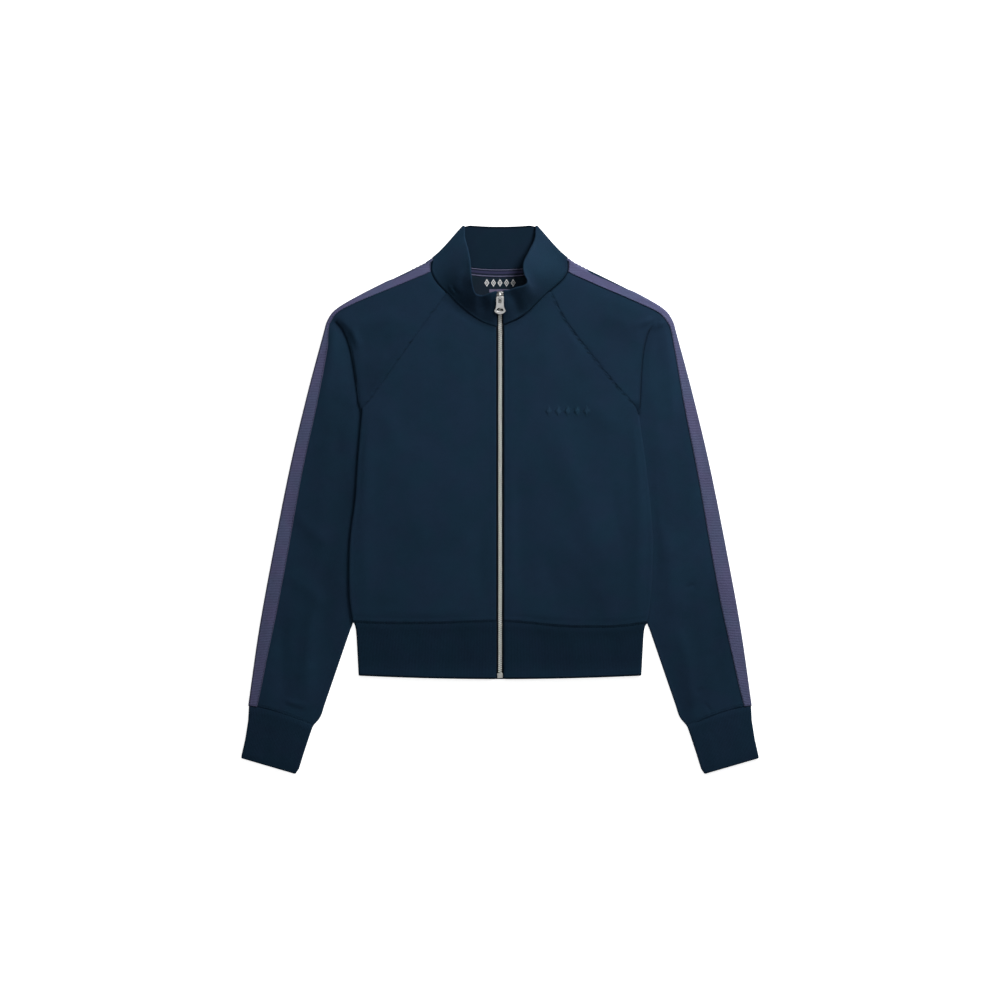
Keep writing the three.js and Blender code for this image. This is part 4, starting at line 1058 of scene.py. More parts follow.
for hand, sign in HANDS.items():
    panel, arm = fronts[hand], sleeves[hand]
    panel_out, arm_out = grid_normals(panel) * sign, grid_normals(arm) * sign
    rows = slice(*np.searchsorted(SLEEVE_ROWS[hand][:, 0], [UNDERARM_Y[hand], FRONT_TIP_Y[hand]]))
    by_arm = panel[:, -1, 1] > UNDERARM_Y[hand]
    lift = JERSEY / 2 + 0.1
    on_body = inset_line(panel[by_arm, ::-1], panel_out[by_arm, ::-1], SEAM_ROW_IN, lift)
    on_arm = inset_line(arm[rows], arm_out[rows], SEAM_ROW_IN, lift)
    front_rows = uneven(
        [stitch_row(on_body), stitch_row(on_arm), *crossing(on_body, on_arm)], SEAM_SHOWN[hand], 7 + sign
    )
    sewn_on(threads(f"front_raglan_stitches_{hand}", front_rows, painted_shade_thread))
    by_arm = back_points[:, 0, 1] > BACK_UNDERARM_Y
    panel, panel_out = (grid[by_arm, ::-sign] for grid in (back_points, -grid_normals(back_points)))
    rows = slice(*np.searchsorted(SLEEVE_ROWS[hand][:, 0], [BACK_UNDERARM_Y, BACK_TIP_Y]))
    lift = JERSEY / 2 + FLUSH
    on_body = inset_line(panel, panel_out, SEAM_ROW_IN, lift)
    on_arm = inset_line(arm[rows, ::-1], arm_out[rows, ::-1], SEAM_ROW_IN, lift)
    back_rows = [stitch_row(on_body), stitch_row(on_arm)]
    sewn_on(threads(f"back_raglan_stitches_{hand}", back_rows, navy_thread))

# ---- Chest embroidery ----------------------------------------------------------------
# A row of five small lozenges on the wearer's left chest, in padded satin stitch of the
# garment's own navy, so that only its relief shows. Each lies inside a running outline.

MOTIF = {"x": 95, "y": 124, "pitch": 13.2, "half_width": 5.2, "half_height": 6.6, "row": 0.62, "pad": 0.75}


def laid_on(points, outward, places):
    """Where places given by x and y lie on a cloth's right side, and the way out there."""
    flat, out = points.reshape(-1, 3), outward.reshape(-1, 3)
    near = (np.abs(flat[:, 0] - MOTIF["x"]) < 60) & (np.abs(flat[:, 1] - MOTIF["y"]) < 30)
    flat, out = flat[near], out[near]
    gap = np.linalg.norm(places[:, None] - flat[None, :, :2], axis=2)
    closest = np.argsort(gap, axis=1)[:, :4]
    weight = 1 / (np.take_along_axis(gap, closest, 1) + 0.05) ** 2
    weight /= weight.sum(1, keepdims=True)
    height = (flat[closest, 2] * weight).sum(1)
    way = (out[closest] * weight[..., None]).sum(1)
    return np.column_stack([places, height]) + way * JERSEY / 2, way


def satin_lozenges():
    half_width, half_height = MOTIF["half_width"], MOTIF["half_height"]
    satin, padding, edges = [], [], []
    for k in range(5):
        middle = MOTIF["x"] + (k - 2) * MOTIF["pitch"]
        for up in np.arange(-half_height + 0.4, half_height - 0.3, MOTIF["row"]):
            reach = half_width * (1 - abs(up) / half_height)
            satin.append([(middle - reach, MOTIF["y"] + up - 0.25), (middle + reach, MOTIF["y"] + up + 0.25)])
            padding.append(MOTIF["pad"] * (1 - (abs(up) / half_height) ** 2))
        corners = [(middle + half_width + 1, MOTIF["y"]), (middle, MOTIF["y"] + half_height + 1.2),
                   (middle - half_width - 1, MOTIF["y"]), (middle, MOTIF["y"] - half_height - 1.2)]
        for a, b in zip(corners, corners[1:] + corners[:1]):
            for t in (0.02, 0.35, 0.68):
                edges.append([mix(np.array(a), np.array(b), t), mix(np.array(a), np.array(b), t + 0.3)])
    outward = grid_normals(fronts["left"])
    rows = []
    for pairs, pads in ((np.array(satin), np.array(padding)[:, None]), (np.array(edges), 0.1)):
        start, out = laid_on(fronts["left"], outward, pairs[:, 0])
        end, _ = laid_on(fronts["left"], outward, pairs[:, 1])
        rows.append((start + out * pads, end + out * pads, out))
    return threads("chest_embroidery", rows, embroidery_thread, thickness=0.75)


sewn_on(satin_lozenges())

# ---- Stripe tapes ------------------------------------------------------------------
# A purple-blue woven tape with fine cross ribs, sewn flat on each sleeve from the collar to
# the cuff by a row of navy stitches at each edge. It goes round the over-arm fold.

PURPLE = (0.066, 0.072, 0.148)
# Painted shade round the over-arm fold (TAPE_RIM), and painted light and shade in soft patches (TAPE_SHADE).
TAPE_RIM = {"right": -0.45, "left": -0.25}
TAPE_SHADE = {
    "right": table("x y half_width half_height share", (150, 275, 100, 45, 0.3), (250, 150, 30, 60, 0.08)),
    "left": table("x y half_width half_height share", (150, 275, 100, 45, 0.3), (270, 10, 60, 130, -0.12)),
}
TAPE_RIB = 2.3
TAPE_ROW_IN = 1.1
# The cut given for the tape is this much longer than the modelled tape.
TAPE_ADDED_LENGTH = 6
TAPE_COLUMNS = 31
TAPE_RUN_COLUMN = 12


def stripe_material():
    """Cross ribs, each a course of fine strands, between firm edge yarns."""
    material, tree, shader = new_material(
        "purple_tape", Roughness=0.72, Specular_IOR_Level=0.25, Sheen_Weight=0.1, Sheen_Roughness=0.4,
        Sheen_Tint=(0.7, 0.7, 1, 1))
    across, along, side = laid_coordinates(tree)
    rib = ((along / TAPE_RIB).fraction() * math.pi).sine()
    strands = ((across / 0.5 + (along / TAPE_RIB).whole() * 0.5).fraction() * math.pi).sine()
    selvedge = (across - STRIPE_WIDTH / 2).size().step(STRIPE_WIDTH / 2 - 1.5, STRIPE_WIDTH / 2 - 1.1)
    edge_yarn = ((along / 0.9).fraction() * math.pi).sine()
    height = (rib * 0.75 + strands * 0.25) * (1 - selvedge) + edge_yarn * selvedge
    tone = cloud(tree, 14, 3) * 0.6 + cloud(tree, 500, 2) * 0.4
    finish_cloth(tree, shader, height, tone, PURPLE, depth_mm=0.45, strength=0.8, dark=0.5, light=1.25)
    return material


def stripe_tape(hand):
    sleeve = sleeves[hand]
    sign = HANDS[hand]
    outside = grid_normals(sleeve) * sign
    lifted = sleeve + outside * ((JERSEY + STRIPE) / 2 + 0.06)
    fold_column = SLEEVE_COLUMNS + 4
    rows = []
    for i, row in enumerate(lifted):
        steps = np.linalg.norm(np.diff(row, axis=0), axis=1)
        arc = np.concatenate([[0], np.cumsum(steps)])
        place_y = SLEEVE_ROWS[hand][i, 0]
        front = row[: fold_column + 1]
        from_edge = (over_arm(place_y) - np.abs(front[:, 0])) / over_arm_scale(place_y)
        shown = min(stripe_shown(place_y, hand), from_edge[0] - 0.4)
        start = np.interp(-shown, -from_edge, arc[: fold_column + 1])
        lengths = start + np.linspace(0, STRIPE_WIDTH, TAPE_COLUMNS)
        rows.append([np.interp(lengths, arc, row[:, axis]) for axis in range(3)])
    points = np.array(rows).transpose(0, 2, 1)
    points[..., 2] = np.maximum(points[..., 2], STRIPE / 2)
    steps_down = np.linalg.norm(np.diff(points[:, TAPE_RUN_COLUMN], axis=0), axis=1)
    run = np.concatenate([[0], np.cumsum(steps_down)])
    lay = np.stack(np.broadcast_arrays(np.linspace(0, STRIPE_WIDTH, TAPE_COLUMNS)[None, :], run[:, None]), -1)
    # Painted shade along the tape's inner edge and round the over-arm fold, with the painted light and shade
    # of the soft patches.
    by_edge = -0.5 * (np.arange(TAPE_COLUMNS) < 1)
    round_fold = from_over_arm(np.abs(points[..., 0]), points[..., 1])
    shade = soft_shade(points, TAPE_SHADE[hand]) + by_edge + TAPE_RIM[hand] * smooth(1.9, 1.0, round_fold)
    piece = cloth(f"stripe_tape_piece_{hand}", points, STRIPE, lay, sign, purple_tape, shade=shade)
    return piece, points, run[-1]


purple_tape = stripe_material()
tapes = {}
for hand in HANDS:
    piece, tapes[hand], tape_length = stripe_tape(hand)
    as_sheet(
        piece, [f"stripe_tape_{hand}"],
        width=STRIPE_WIDTH, length=float(tape_length) + TAPE_ADDED_LENGTH,
    )
    tape_out = grid_normals(tapes[hand]) * HANDS[hand]
    edge_rows = [
        stitch_row(inset_line(tapes[hand][:, ::way], tape_out[:, ::way], TAPE_ROW_IN, STRIPE / 2 + lift))
        for way, lift in ((1, 0.05), (-1, FLUSH))
    ]
    sewn_on(threads(f"stripe_tape_stitches_{hand}", edge_rows, navy_thread, thickness=0.5))

# ---- Cuffs -------------------------------------------------------------------------
# Each cuff is a doubled tube of fine navy rib, folded at the wrist edge and joined at the
# inner side. The ribs run down the arm, and the sleeve is eased on to it at the seam.

NAVY_RIB_COLOUR = (0.0062, 0.0176, 0.0342)
NAVY_BAND_COLOUR = (0.0050, 0.0152, 0.0298)


def rib_material(name, colour, pitch=2.1, strength=0.6):
    material, tree, shader = new_material(
        name, Roughness=0.9, Specular_IOR_Level=0.05, Sheen_Weight=0.02, Sheen_Roughness=0.45,
        Sheen_Tint=SHEEN_BLUE)
    across, along, side = laid_coordinates(tree)
    column = ((across / pitch).fraction() * math.pi).sine()
    stitch = knit_height(across + pitch / 4, along, pitch / 2, 0.85)
    height = column**0.7 * 0.6 + stitch * 0.4
    finish_cloth(
        tree, shader, height, mottling(tree), colour, depth_mm=0.4, strength=strength, dark=0.62, light=1.22
    )
    return material


navy_rib = rib_material("navy_rib", NAVY_RIB_COLOUR)
navy_band_rib = rib_material("navy_band_rib", NAVY_BAND_COLOUR)
CUFF = table(
    "v outer_x outer_y inner_x inner_y",
    (0, 351.7, -288, 262, -317.5), (0.3, 352.8, -309.5, 266.8, -331), (0.65, 357, -336, 275, -356),
    (0.93, 361.8, -357, 281.5, -377), (1, 362.6, -361.2, 286, -383.6),
)
CUFF_HALF_HEIGHT = 1.6
CUFF_COLUMNS = 34
COVER_ROWS = (1.2, 4.7)
CUFF_CREASES = {
    "right": table(
        "x0 y0 x1 y1 bend width height", (285, -335, 300, -368, 2, 8, 0.7), (325, -322, 335, -358, 2, 9, -0.6)
    ),
    "left": table(
        "x0 y0 x1 y1 bend width height", (290, -330, 296, -370, 2, 8, 0.7), (330, -312, 338, -358, 2, 10, 0.5)
    ),
}


def cuff(hand):
    sign = HANDS[hand]
    radius = CUFF_HALF_HEIGHT
    level = inset = radius + RIB / 2
    v = np.concatenate([np.linspace(0, 0.93, 30), np.linspace(0.93, 1, 5)[1:]])[:, None]
    column = {c: np.interp(v, CUFF["v"], CUFF[c]) for c in CUFF}
    inner = np.stack([column["inner_x"], column["inner_y"]], -1)
    outer = np.stack([column["outer_x"], column["outer_y"]], -1)
    span = np.linalg.norm(outer - inner, axis=-1, keepdims=True)
    direction = (outer - inner) / span
    width = span[..., 0] - 2 * inset
    turn = np.linspace(0, math.pi, 9)
    across = np.linspace(0, 1, CUFF_COLUMNS)[1:-1]
    s_parts = [(-radius * np.sin(turn[4:-1]), 0), (np.concatenate([[0], across, [1]]), 1),
               (radius * np.sin(turn[1:-1]), 2), (1 - np.concatenate([[0], across, [1]]), 1),
               (-radius * np.sin(turn[1:4]), 0)]
    z_parts = [
        level + radius * np.cos(turn[4:-1]), np.full(CUFF_COLUMNS, level - radius),
        level - radius * np.cos(turn[1:-1]), np.full(CUFF_COLUMNS, level + radius),
        level + radius * np.cos(turn[1:4]),
    ]
    s = np.concatenate([width * part if kind == 1 else part + (width if kind == 2 else 0 * width)
                        for part, kind in s_parts], 1)
    z = np.concatenate(z_parts)[None, :] + 0 * v
    bow = CUFF_SEAM_DROP * 0.12 * (1 - v) * np.sin(math.pi * np.clip(s / width, 0, 1))
    x = inner[..., 0] + direction[..., 0] * (inset + s)
    y = inner[..., 1] + direction[..., 1] * (inset + s) + bow
    upper = z > level
    swell = smooth(0, 0.12, v) * smooth(1, 0.9, v) * 0.5
    uneven = creases(x, y, CUFF_CREASES[hand]) + ripple(x, y, 0.25, 31)
    z = z + np.where(upper, swell + uneven * smooth(0, 6, s) * smooth(0, 6, width - s) * smooth(0, 0.2, v), 0)
    z = z - np.where(upper, 0.5, 0) * smooth(0.1, 0, v)
    points = np.stack([sign * x, y, z], -1)
    around = np.concatenate([[0], np.cumsum(np.linalg.norm(np.diff(points[12], axis=0), axis=1))])
    lay = np.stack(np.broadcast_arrays(around[None, :], v * 70), -1)
    return cloth(f"cuff_piece_{hand}", points, RIB, lay, sign, navy_rib, edge=0.45)


for hand, sign in HANDS.items():
    as_sheet(cuff(hand), [f"cuff_{hand}"], width=186, length=74)
    grid = turned(sleeves[hand], grid_normals(sleeves[hand]) * sign)
    cuff_rows = [stitch_row(inset_line(*grid, distance, JERSEY / 2 + 0.05)) for distance in COVER_ROWS]
    sewn_on(threads(f"cuff_stitches_{hand}", cuff_rows, navy_thread))

# ---- Waistband ---------------------------------------------------------------------
# One doubled strip of the fine rib, folded at the hem, from zip edge to zip edge round the
# back. The body is sewn to its top edge and covered with a twin row of stitches.

BAND_BACK_LEVEL = 1.2
BAND_SIDE = {"seam": 202, "hem": 198.1, "spring": 3.4}
HEM_Y = {"centre": -250.6, "side": -245.7}
BAND_CREASES = table(
    "x0 y0 x1 y1 bend width height",
    (-150, -180, -140, -240, 2, 14, 0.5), (-60, -182, -50, -240, 2, 12, -0.4),
    (60, -184, 45, -236, 2, 11, -0.5),
    (95, -182, 108, -240, 2, 12, 0.5), (150, -184, 158, -238, 2, 11, -0.6),
    (-105, -182, -100, -238, 2, 12, 0.4),
)


def waistband():
    """The band's middle surface from one zip edge round the back to the other."""
    middle = (BAND_FRONT_LEVEL + BAND_BACK_LEVEL) / 2
    radius = (BAND_FRONT_LEVEL - BAND_BACK_LEVEL) / 2
    v = np.concatenate(
        [np.linspace(0, 0.06, 4)[:-1], np.linspace(0.06, 0.95, 28), np.linspace(0.95, 1, 4)[1:]]
    )[:, None]
    edge = mix(BAND_SIDE["seam"], BAND_SIDE["hem"], v) + BAND_SIDE["spring"] * np.exp(-v / 0.07)
    edge = edge - radius - RIB / 2
    turn = np.linspace(0, math.pi, 11)[None, 1:-1]
    halves = []
    for hand, sign in HANDS.items():
        front_x = mix(ZIP_EDGE, edge, np.linspace(0, 1, 80)[None, :])
        side_x = edge + radius * np.sin(turn)
        back_x = mix(edge, 0, np.linspace(0, 1, 80)[None, :-1])
        x = np.concatenate([front_x, side_x, back_x], 1)
        z = np.concatenate([0 * front_x + BAND_FRONT_LEVEL, 0 * edge + middle + radius * np.cos(turn),
                            0 * back_x + BAND_BACK_LEVEL], 1)
        seam = band_seam_y(x, hand) + 0.1
        hem = mix(HEM_Y["centre"], HEM_Y["side"], (x / BAND_SIDE["hem"]) ** 2)
        y = mix(seam, hem, v)
        top = z > middle + 1
        uneven = creases(sign * x, y, BAND_CREASES) + ripple(sign * x, y, 0.22, 41)
        room = smooth(0, 10, x - ZIP_EDGE) * smooth(0, 10, edge - x) * smooth(0, 0.15, v) * smooth(1, 0.85, v)
        z = z + np.where(top, uneven * room, 0)
        z = z - np.where(top, edge_drop(v * 80, 1.4, 0.8) + 0.8 * smooth(0.09, 0.01, v), 0)
        z = z + np.where(top, 1.3 * smooth(0.7, 0.97, v) - edge_drop((1 - v) * 80, 2.6, 0.9), 0)
        halves.append(np.stack([sign * x, y, z], -1))
    seat = np.stack([0 * v, mix(BAND_SEAM_Y + 0.1, HEM_Y["centre"], v), 0 * v + BAND_BACK_LEVEL], -1)
    points = np.concatenate([halves[0], seat, halves[1][:, ::-1]], 1)
    around = np.concatenate([[0], np.cumsum(np.linalg.norm(np.diff(points[10], axis=0), axis=1))])
    lay = np.stack(np.broadcast_arrays(around[None, :], v * 80), -1)
    # Painted shade along the hem's rim, near the seam and on the wearer's left half, and painted light above
    # the hem.
    band_painted_light_and_shade = -0.6 * smooth(0.965, 0.99, v) + 0.16 * smooth(0.8, 0.93, v) - 0.08 * smooth(0.3, 0.1, v)
    band_painted_light_and_shade = band_painted_light_and_shade - 0.08 * smooth(20, 90, points[..., 0])
    piece = cloth("waistband_piece", points, RIB, lay, 1, navy_band_rib, edge=0.45, shade=band_painted_light_and_shade)
    return piece, points, float(around[-1])


band_piece, band_points, band_length = waistband()
as_sheet(band_piece, ["waistband"], width=band_length, length=82)
band_rows = []
for grid, lift in ((turned(fronts["right"], -grid_normals(fronts["right"])), 0.05),
                   (turned(fronts["left"], grid_normals(fronts["left"])), 0.05),
                   (turned(back_points, -grid_normals(back_points)), FLUSH)):
    band_rows += [stitch_row(inset_line(*grid, distance, JERSEY / 2 + lift)) for distance in COVER_ROWS]
sewn_on(threads("waistband_stitches", band_rows, navy_thread))

# ---- Collar ------------------------------------------------------------------------
# A stand collar of doubled jersey in one band: up the front beside the zip, folded at the
# sides and across the back of the neck. Unzipped at its top, its front leaves fall open.

COLLAR = 2.3
COLLAR_STATIONS = {
    "right": table(
        "foot_x foot_y foot_z top_x top_y top_z bow",
        (5.4, 242.6, 5.34, 5.4, 289.5, 24.7, -0.7), (12, 244.5, 5.6, 12, 287.5, 24.6, -0.5),
        (25, 249.5, 5.8, 24, 284, 25, -2), (42, 260.5, 6.2, 34, 286.5, 26.5, -2),
        (57.8, 273.5, 6.4, 38.5, 298, 28, -0.5), (69.8, 286.5, 6.2, 40.5, 312, 27, 1.0),
        (82.8, 299, 5.6, 42, 331, 22.5, 1.8), (91.3, 310.5, 4.9, 45.5, 350, 15, 1.3),
        (95.3, 322, 4.3, 49.5, 365, 8.3, 0.8),
    ),
    "left": table(
        "foot_x foot_y foot_z top_x top_y top_z bow",
        (5.4, 245.6, 5.58, 5.4, 290.5, 25.2, -0.7), (12, 248, 6, 12, 291, 26, 0),
        (24, 253.5, 6.2, 21, 294, 28, -1.5), (38, 263, 6.4, 34, 297.5, 28.5, -1),
        (50, 275, 6.5, 38.5, 303, 28, 0.5), (63.8, 288, 6.2, 33.5, 316, 26, 2.5),
        (78.8, 301, 5.7, 33.5, 330, 22.5, 3.0), (88.8, 311.5, 5.1, 41.5, 347, 15.5, 2.0),
        (93.8, 322.5, 4.4, 49, 364, 8.3, 1.0),
    ),
}
COLLAR_FOLD = {"foot": (95.2, 338.8), "top": (52.5, 383.6)}
COLLAR_FOLD_RADIUS = 1.5
COLLAR_TOP_DIP = 2.6
COLLAR_WAIST = 1.8
COLLAR_CREASES = {
    "right": table(
        "x0 y0 x1 y1 bend width height",
        (36, 300, 20, 262, -2, 9, -4.2), (52, 318, 60, 290, 2, 8, 1.0), (70, 299, 62, 288, 0.5, 2.2, 1.1),
        (66, 297, 58, 287, 0.5, 2.0, -1.0), (44, 330, 52, 296, 2, 6, -1.0),
    ),
    "left": table(
        "x0 y0 x1 y1 bend width height",
        (12, 290, 26, 258, 3, 8, -3.0), (34, 300, 46, 280, 2, 8, 1.2), (36, 322, 58, 290, 2, 8, -0.8),
    ),
}
# Painted shade in soft patches on the collar, darkest beside the zip.
COLLAR_SHADE = {
    "right": table(
        "x y half_width half_height share",
        (26, 262, 26, 19, -0.28), (52, 276, 18, 16, -0.14), (76, 300, 18, 22, -0.1),
        (56, 320, 12, 30, -0.06),
    ),
    "left": table(
        "x y half_width half_height share",
        (26, 264, 26, 20, -0.3), (50, 280, 18, 16, -0.18), (44, 300, 14, 16, -0.14),
        (74, 300, 18, 20, -0.1),
    ),
}
COLLAR_FOOT_SHADE = {"right": 0.2, "left": -0.15}
# The cut given for the collar is this much longer than the modelled band.
COLLAR_ADDED_LENGTH = 40
NAVY_COLLAR_COLOUR = (0.0084, 0.0232, 0.0440)
# The collar's inner face is painted darker: painted shade inside the collar.
navy_collar = jersey_material("navy_collar", NAVY_COLLAR_COLOUR, wale=1.0, course=0.78, wrong_side_shade=0.62)


def collar_band():
    fold_foot, fold_top = (np.array(COLLAR_FOLD[end]) for end in ("foot", "top"))
    lean = fold_top - fold_foot
    outward = np.array([lean[1], -lean[0]]) / np.linalg.norm(lean)
    back_level_z = COLLAR / 2
    halves = []
    for hand, sign in HANDS.items():
        rows = np.column_stack([COLLAR_STATIONS[hand][c] for c in COLLAR_STATIONS[hand]])
        fold = []
        for turn in np.linspace(0, math.pi, 7):
            inset = COLLAR / 2 + COLLAR_FOLD_RADIUS * (1 - math.sin(turn))
            z = back_level_z + COLLAR_FOLD_RADIUS * (1 + math.cos(turn))
            fold.append([*(fold_foot - outward * inset), z, *(fold_top - outward * inset), z, 0])
        back = []
        for t in (0.85, 0.68, 0.5, 0.32, 0.15):
            top_y = COLLAR_FOLD["top"][1] - COLLAR_TOP_DIP * (1 - t**2)
            back.append([88 * t, back_neck_y(88 * t) + GAP, back_level_z, 50 * t, top_y, back_level_z, 0])
        rows = np.vstack([rows, fold, back])
        rows[:, [0, 3]] *= sign
        halves.append(rows)
    seat = [0, back_neck_y(0) + GAP, back_level_z, 0, COLLAR_FOLD["top"][1] - COLLAR_TOP_DIP, back_level_z, 0]
    stations = np.vstack([halves[0], seat, halves[1][::-1]])
    chord = np.linalg.norm(np.diff(stations[:, [3, 4, 5]], axis=0), axis=1)
    chord += np.linalg.norm(np.diff(stations[:, :3], axis=0), axis=1)
    run = np.concatenate([[0], np.cumsum(np.sqrt(chord))])
    fine = np.concatenate([np.linspace(a, b, 12)[:-1] for a, b in zip(run, run[1:])] + [run[-1:]])
    bands = np.column_stack([centripetal(run, stations[:, c], fine) for c in range(7)])
    v = np.concatenate([np.linspace(0, 0.92, 26), np.linspace(0.92, 1, 5)[1:]])[:, None]
    foot, top, bow = bands[None, :, :3], bands[None, :, 3:6], bands[None, :, 6]
    points = mix(foot, top, v[..., None])
    points[..., 2] += bow * np.sin(math.pi * v)
    x, y = points[..., 0], points[..., 1]
    drawn_in = COLLAR_WAIST * smooth(0, 0.22, v) * smooth(1, 0.35, v)
    points[..., 0] -= np.sign(x) * drawn_in * smooth(58, 90, np.abs(foot[..., 0]))
    for hand, sign in HANDS.items():
        side = np.arange(len(fine)) < len(fine) // 2 if sign < 0 else np.arange(len(fine)) > len(fine) // 2
        front = (points[..., 2] > 3.6) & side[None, :]
        gentle = smooth(0, 0.14, v) * smooth(3.6, 7, points[..., 2])
        lift = creases(sign * x, y, COLLAR_CREASES[hand]) * gentle
        points[..., 2] += np.where(front, lift, 0)
    points[..., 2] += 0.2 * np.exp(-(((v - 0.05) / 0.03) ** 2)) * smooth(3.6, 5, points[..., 2])
    around = np.concatenate([[0], np.cumsum(np.linalg.norm(np.diff(points[14], axis=0), axis=1))])
    lay = np.stack(np.broadcast_arrays(around[None, :], v * 60), -1)
    # Painted shade in soft patches, painted light along the wearer's right foot and painted shade along the
    # left, and painted shade along the back's top rim.
    on_right = points[..., 0] < 0
    shade = np.where(on_right, *(soft_shade(points, COLLAR_SHADE[hand]) for hand in ("right", "left")))
    at_foot = np.where(on_right, COLLAR_FOOT_SHADE["right"], COLLAR_FOOT_SHADE["left"])
    seam_light = at_foot * smooth(0.09, 0.0, v)
    behind = smooth(4.1, 2.6, points[..., 2])
    shade = (shade + seam_light) * (1 - behind) - 0.5 * behind * smooth(0.955, 0.985, v)
    piece = cloth("collar_piece", points, COLLAR, lay, -1, navy_collar, edge=0.6, shade=shade)
    return piece, points, float(around[-1])


def centripetal(run, values, fine):
    """A smooth curve through values at run, read at fine."""
    slope = np.gradient(values, run)
    i = np.clip(np.searchsorted(run, fine, side="right") - 1, 0, len(run) - 2)
    span = run[i + 1] - run[i]
    t = (fine - run[i]) / span
    rise = t * t * (3 - 2 * t)
    bent = slope[i] * t * (1 - t) ** 2 - slope[i + 1] * t * t * (1 - t)
    return mix(values[i], values[i + 1], rise) + span * bent


collar_piece, collar_points, collar_length = collar_band()
as_sheet(
    collar_piece, ["collar"],
    width=collar_length + COLLAR_ADDED_LENGTH, length=66,
)
collar_out = -grid_normals(collar_points)
foot_row = stitch_row(inset_line(*turned(collar_points, collar_out), 2.4, COLLAR / 2 + FLUSH / 2))
sewn_on(threads("collar_seam_stitches", [foot_row], navy_thread))

# ---- Zip topstitching ----------------------------------------------------------------
# A single row of navy stitches beside each zip edge, up the waistband, the front and the
# collar. It holds the zip's tape behind the turned-in edge.

zip_rows = []
for hand, sign in HANDS.items():
    grids = [(fronts[hand], grid_normals(fronts[hand]) * sign, JERSEY)]
    grids += [(grid[:, ::-sign], outward[:, ::-sign], thick) for grid, outward, thick in
              ((band_points, grid_normals(band_points), RIB), (collar_points, collar_out, COLLAR))]
    for grid, outward, thick in grids:
        below = grid[:, 0, 1] < ZIP_SEAM_Y[hand] - 1 if grid is fronts[hand] else np.full(len(grid), True)
        edge_line = inset_line(grid[below], outward[below], ZIP_STITCHES_IN, thick / 2 + 0.05)
        zip_rows.append(stitch_row(edge_line))
sewn_on(threads("zip_edge_stitches", zip_rows, navy_thread, thickness=0.5))

# ---- Back neck tape and half-moon patch ----------------------------------------------
# Inside the back neck a twill tape with pale piped edges covers the collar seam, over a
# half-moon patch of the same navy jersey. The patch carries a plain printed device.

NECK_TRIM = 0.7
NECK_LEVEL = 2.05
NECK_TAPE_WIDTH = 11
NECK_TAPE_HALF = 55
PATCH = {"half_width": 58, "depth": 47}
PATCH_COLOUR = (0.0085, 0.0165, 0.026)


def neck_tape_material():
    material, tree, shader = new_material("neck_tape_twill", Roughness=0.8, Specular_IOR_Level=0.15)
    across, along, side = laid_coordinates(tree)
    twill = (((across + along) / 0.9).fraction() * math.pi).sine()
    pale = along.step(1.0, 1.3) * (1 - along.step(2.3, 2.6)) + along.step(10.2, 10.4)
    lilac = along.step(5.0, 5.4) * (1 - along.step(8.2, 8.6))
    ground = mix_colour(tree, lilac, (0.006, 0.010, 0.024, 1), (0.025, 0.026, 0.066, 1))
    lined = mix_colour(tree, pale, ground, (0.09, 0.092, 0.155, 1))
    # Painted shade in the twill's grooves and painted light on its ridges.
    ridges = mix_colour(tree, twill, (0.55, 0.55, 0.55, 1), (1.2, 1.2, 1.2, 1))
    shaded = Dye.node(tree, "Mix", {"data_type": "RGBA", "blend_type": "MULTIPLY"},
                      {0: 0.5, 6: lined, 7: ridges}, output=2)
    tree.links.new(shaded.socket, shader.inputs["Base Color"])
    bump = Dye.node(tree, "Bump", sockets={"Height": twill, "Strength": 0.5, "Distance": 0.25 * MM})
    tree.links.new(bump.socket, shader.inputs["Normal"])
    return material


def neck_tape():
    x = np.linspace(-NECK_TAPE_HALF, NECK_TAPE_HALF, 81)[None, :]
    up = np.linspace(0, NECK_TAPE_WIDTH, 18)[:, None]
    y = back_neck_y(np.abs(x)) - 0.4 - NECK_TAPE_WIDTH + up
    piping = 0.5 * np.exp(-(((up - 1.8) / 0.8) ** 2))
    points = np.stack(np.broadcast_arrays(x, y, NECK_LEVEL + piping), -1)
    lay = np.stack(np.broadcast_arrays(x, up), -1)
    return cloth("neck_tape_piece", points, NECK_TRIM, lay, 1, neck_tape_material())


def neck_patch():
    v = np.linspace(0, 1, 40)[:, None]
    u = np.linspace(-1, 1, 61)[None, :]
    x = PATCH["half_width"] * u * np.sqrt(1 - (0.98 * (1 - v)) ** 2)
    y = back_neck_y(np.abs(x)) - 0.4 - NECK_TAPE_WIDTH - GAP - PATCH["depth"] * (1 - v)
    points = np.stack(np.broadcast_arrays(x, y, NECK_LEVEL), -1)
    patch_jersey = jersey_material("patch_jersey", PATCH_COLOUR)
    return cloth("neck_patch_piece", points, NECK_TRIM, points[..., :2], 1, patch_jersey)


as_sheet(neck_tape(), ["neck_tape"], width=110, length=11)
as_sheet(neck_patch(), ["neck_patch"], width=116, length=48)

PRINT_LEVEL = NECK_LEVEL + NECK_TRIM / 2 + 0.09
LOZENGE = {"count": 5, "pitch": 9.2, "half_width": 3.4, "half_height": 5.4, "y": 303.5}
PRINT_BAR = {"half_width": 15, "half_height": 2.2, "y": 292.4}


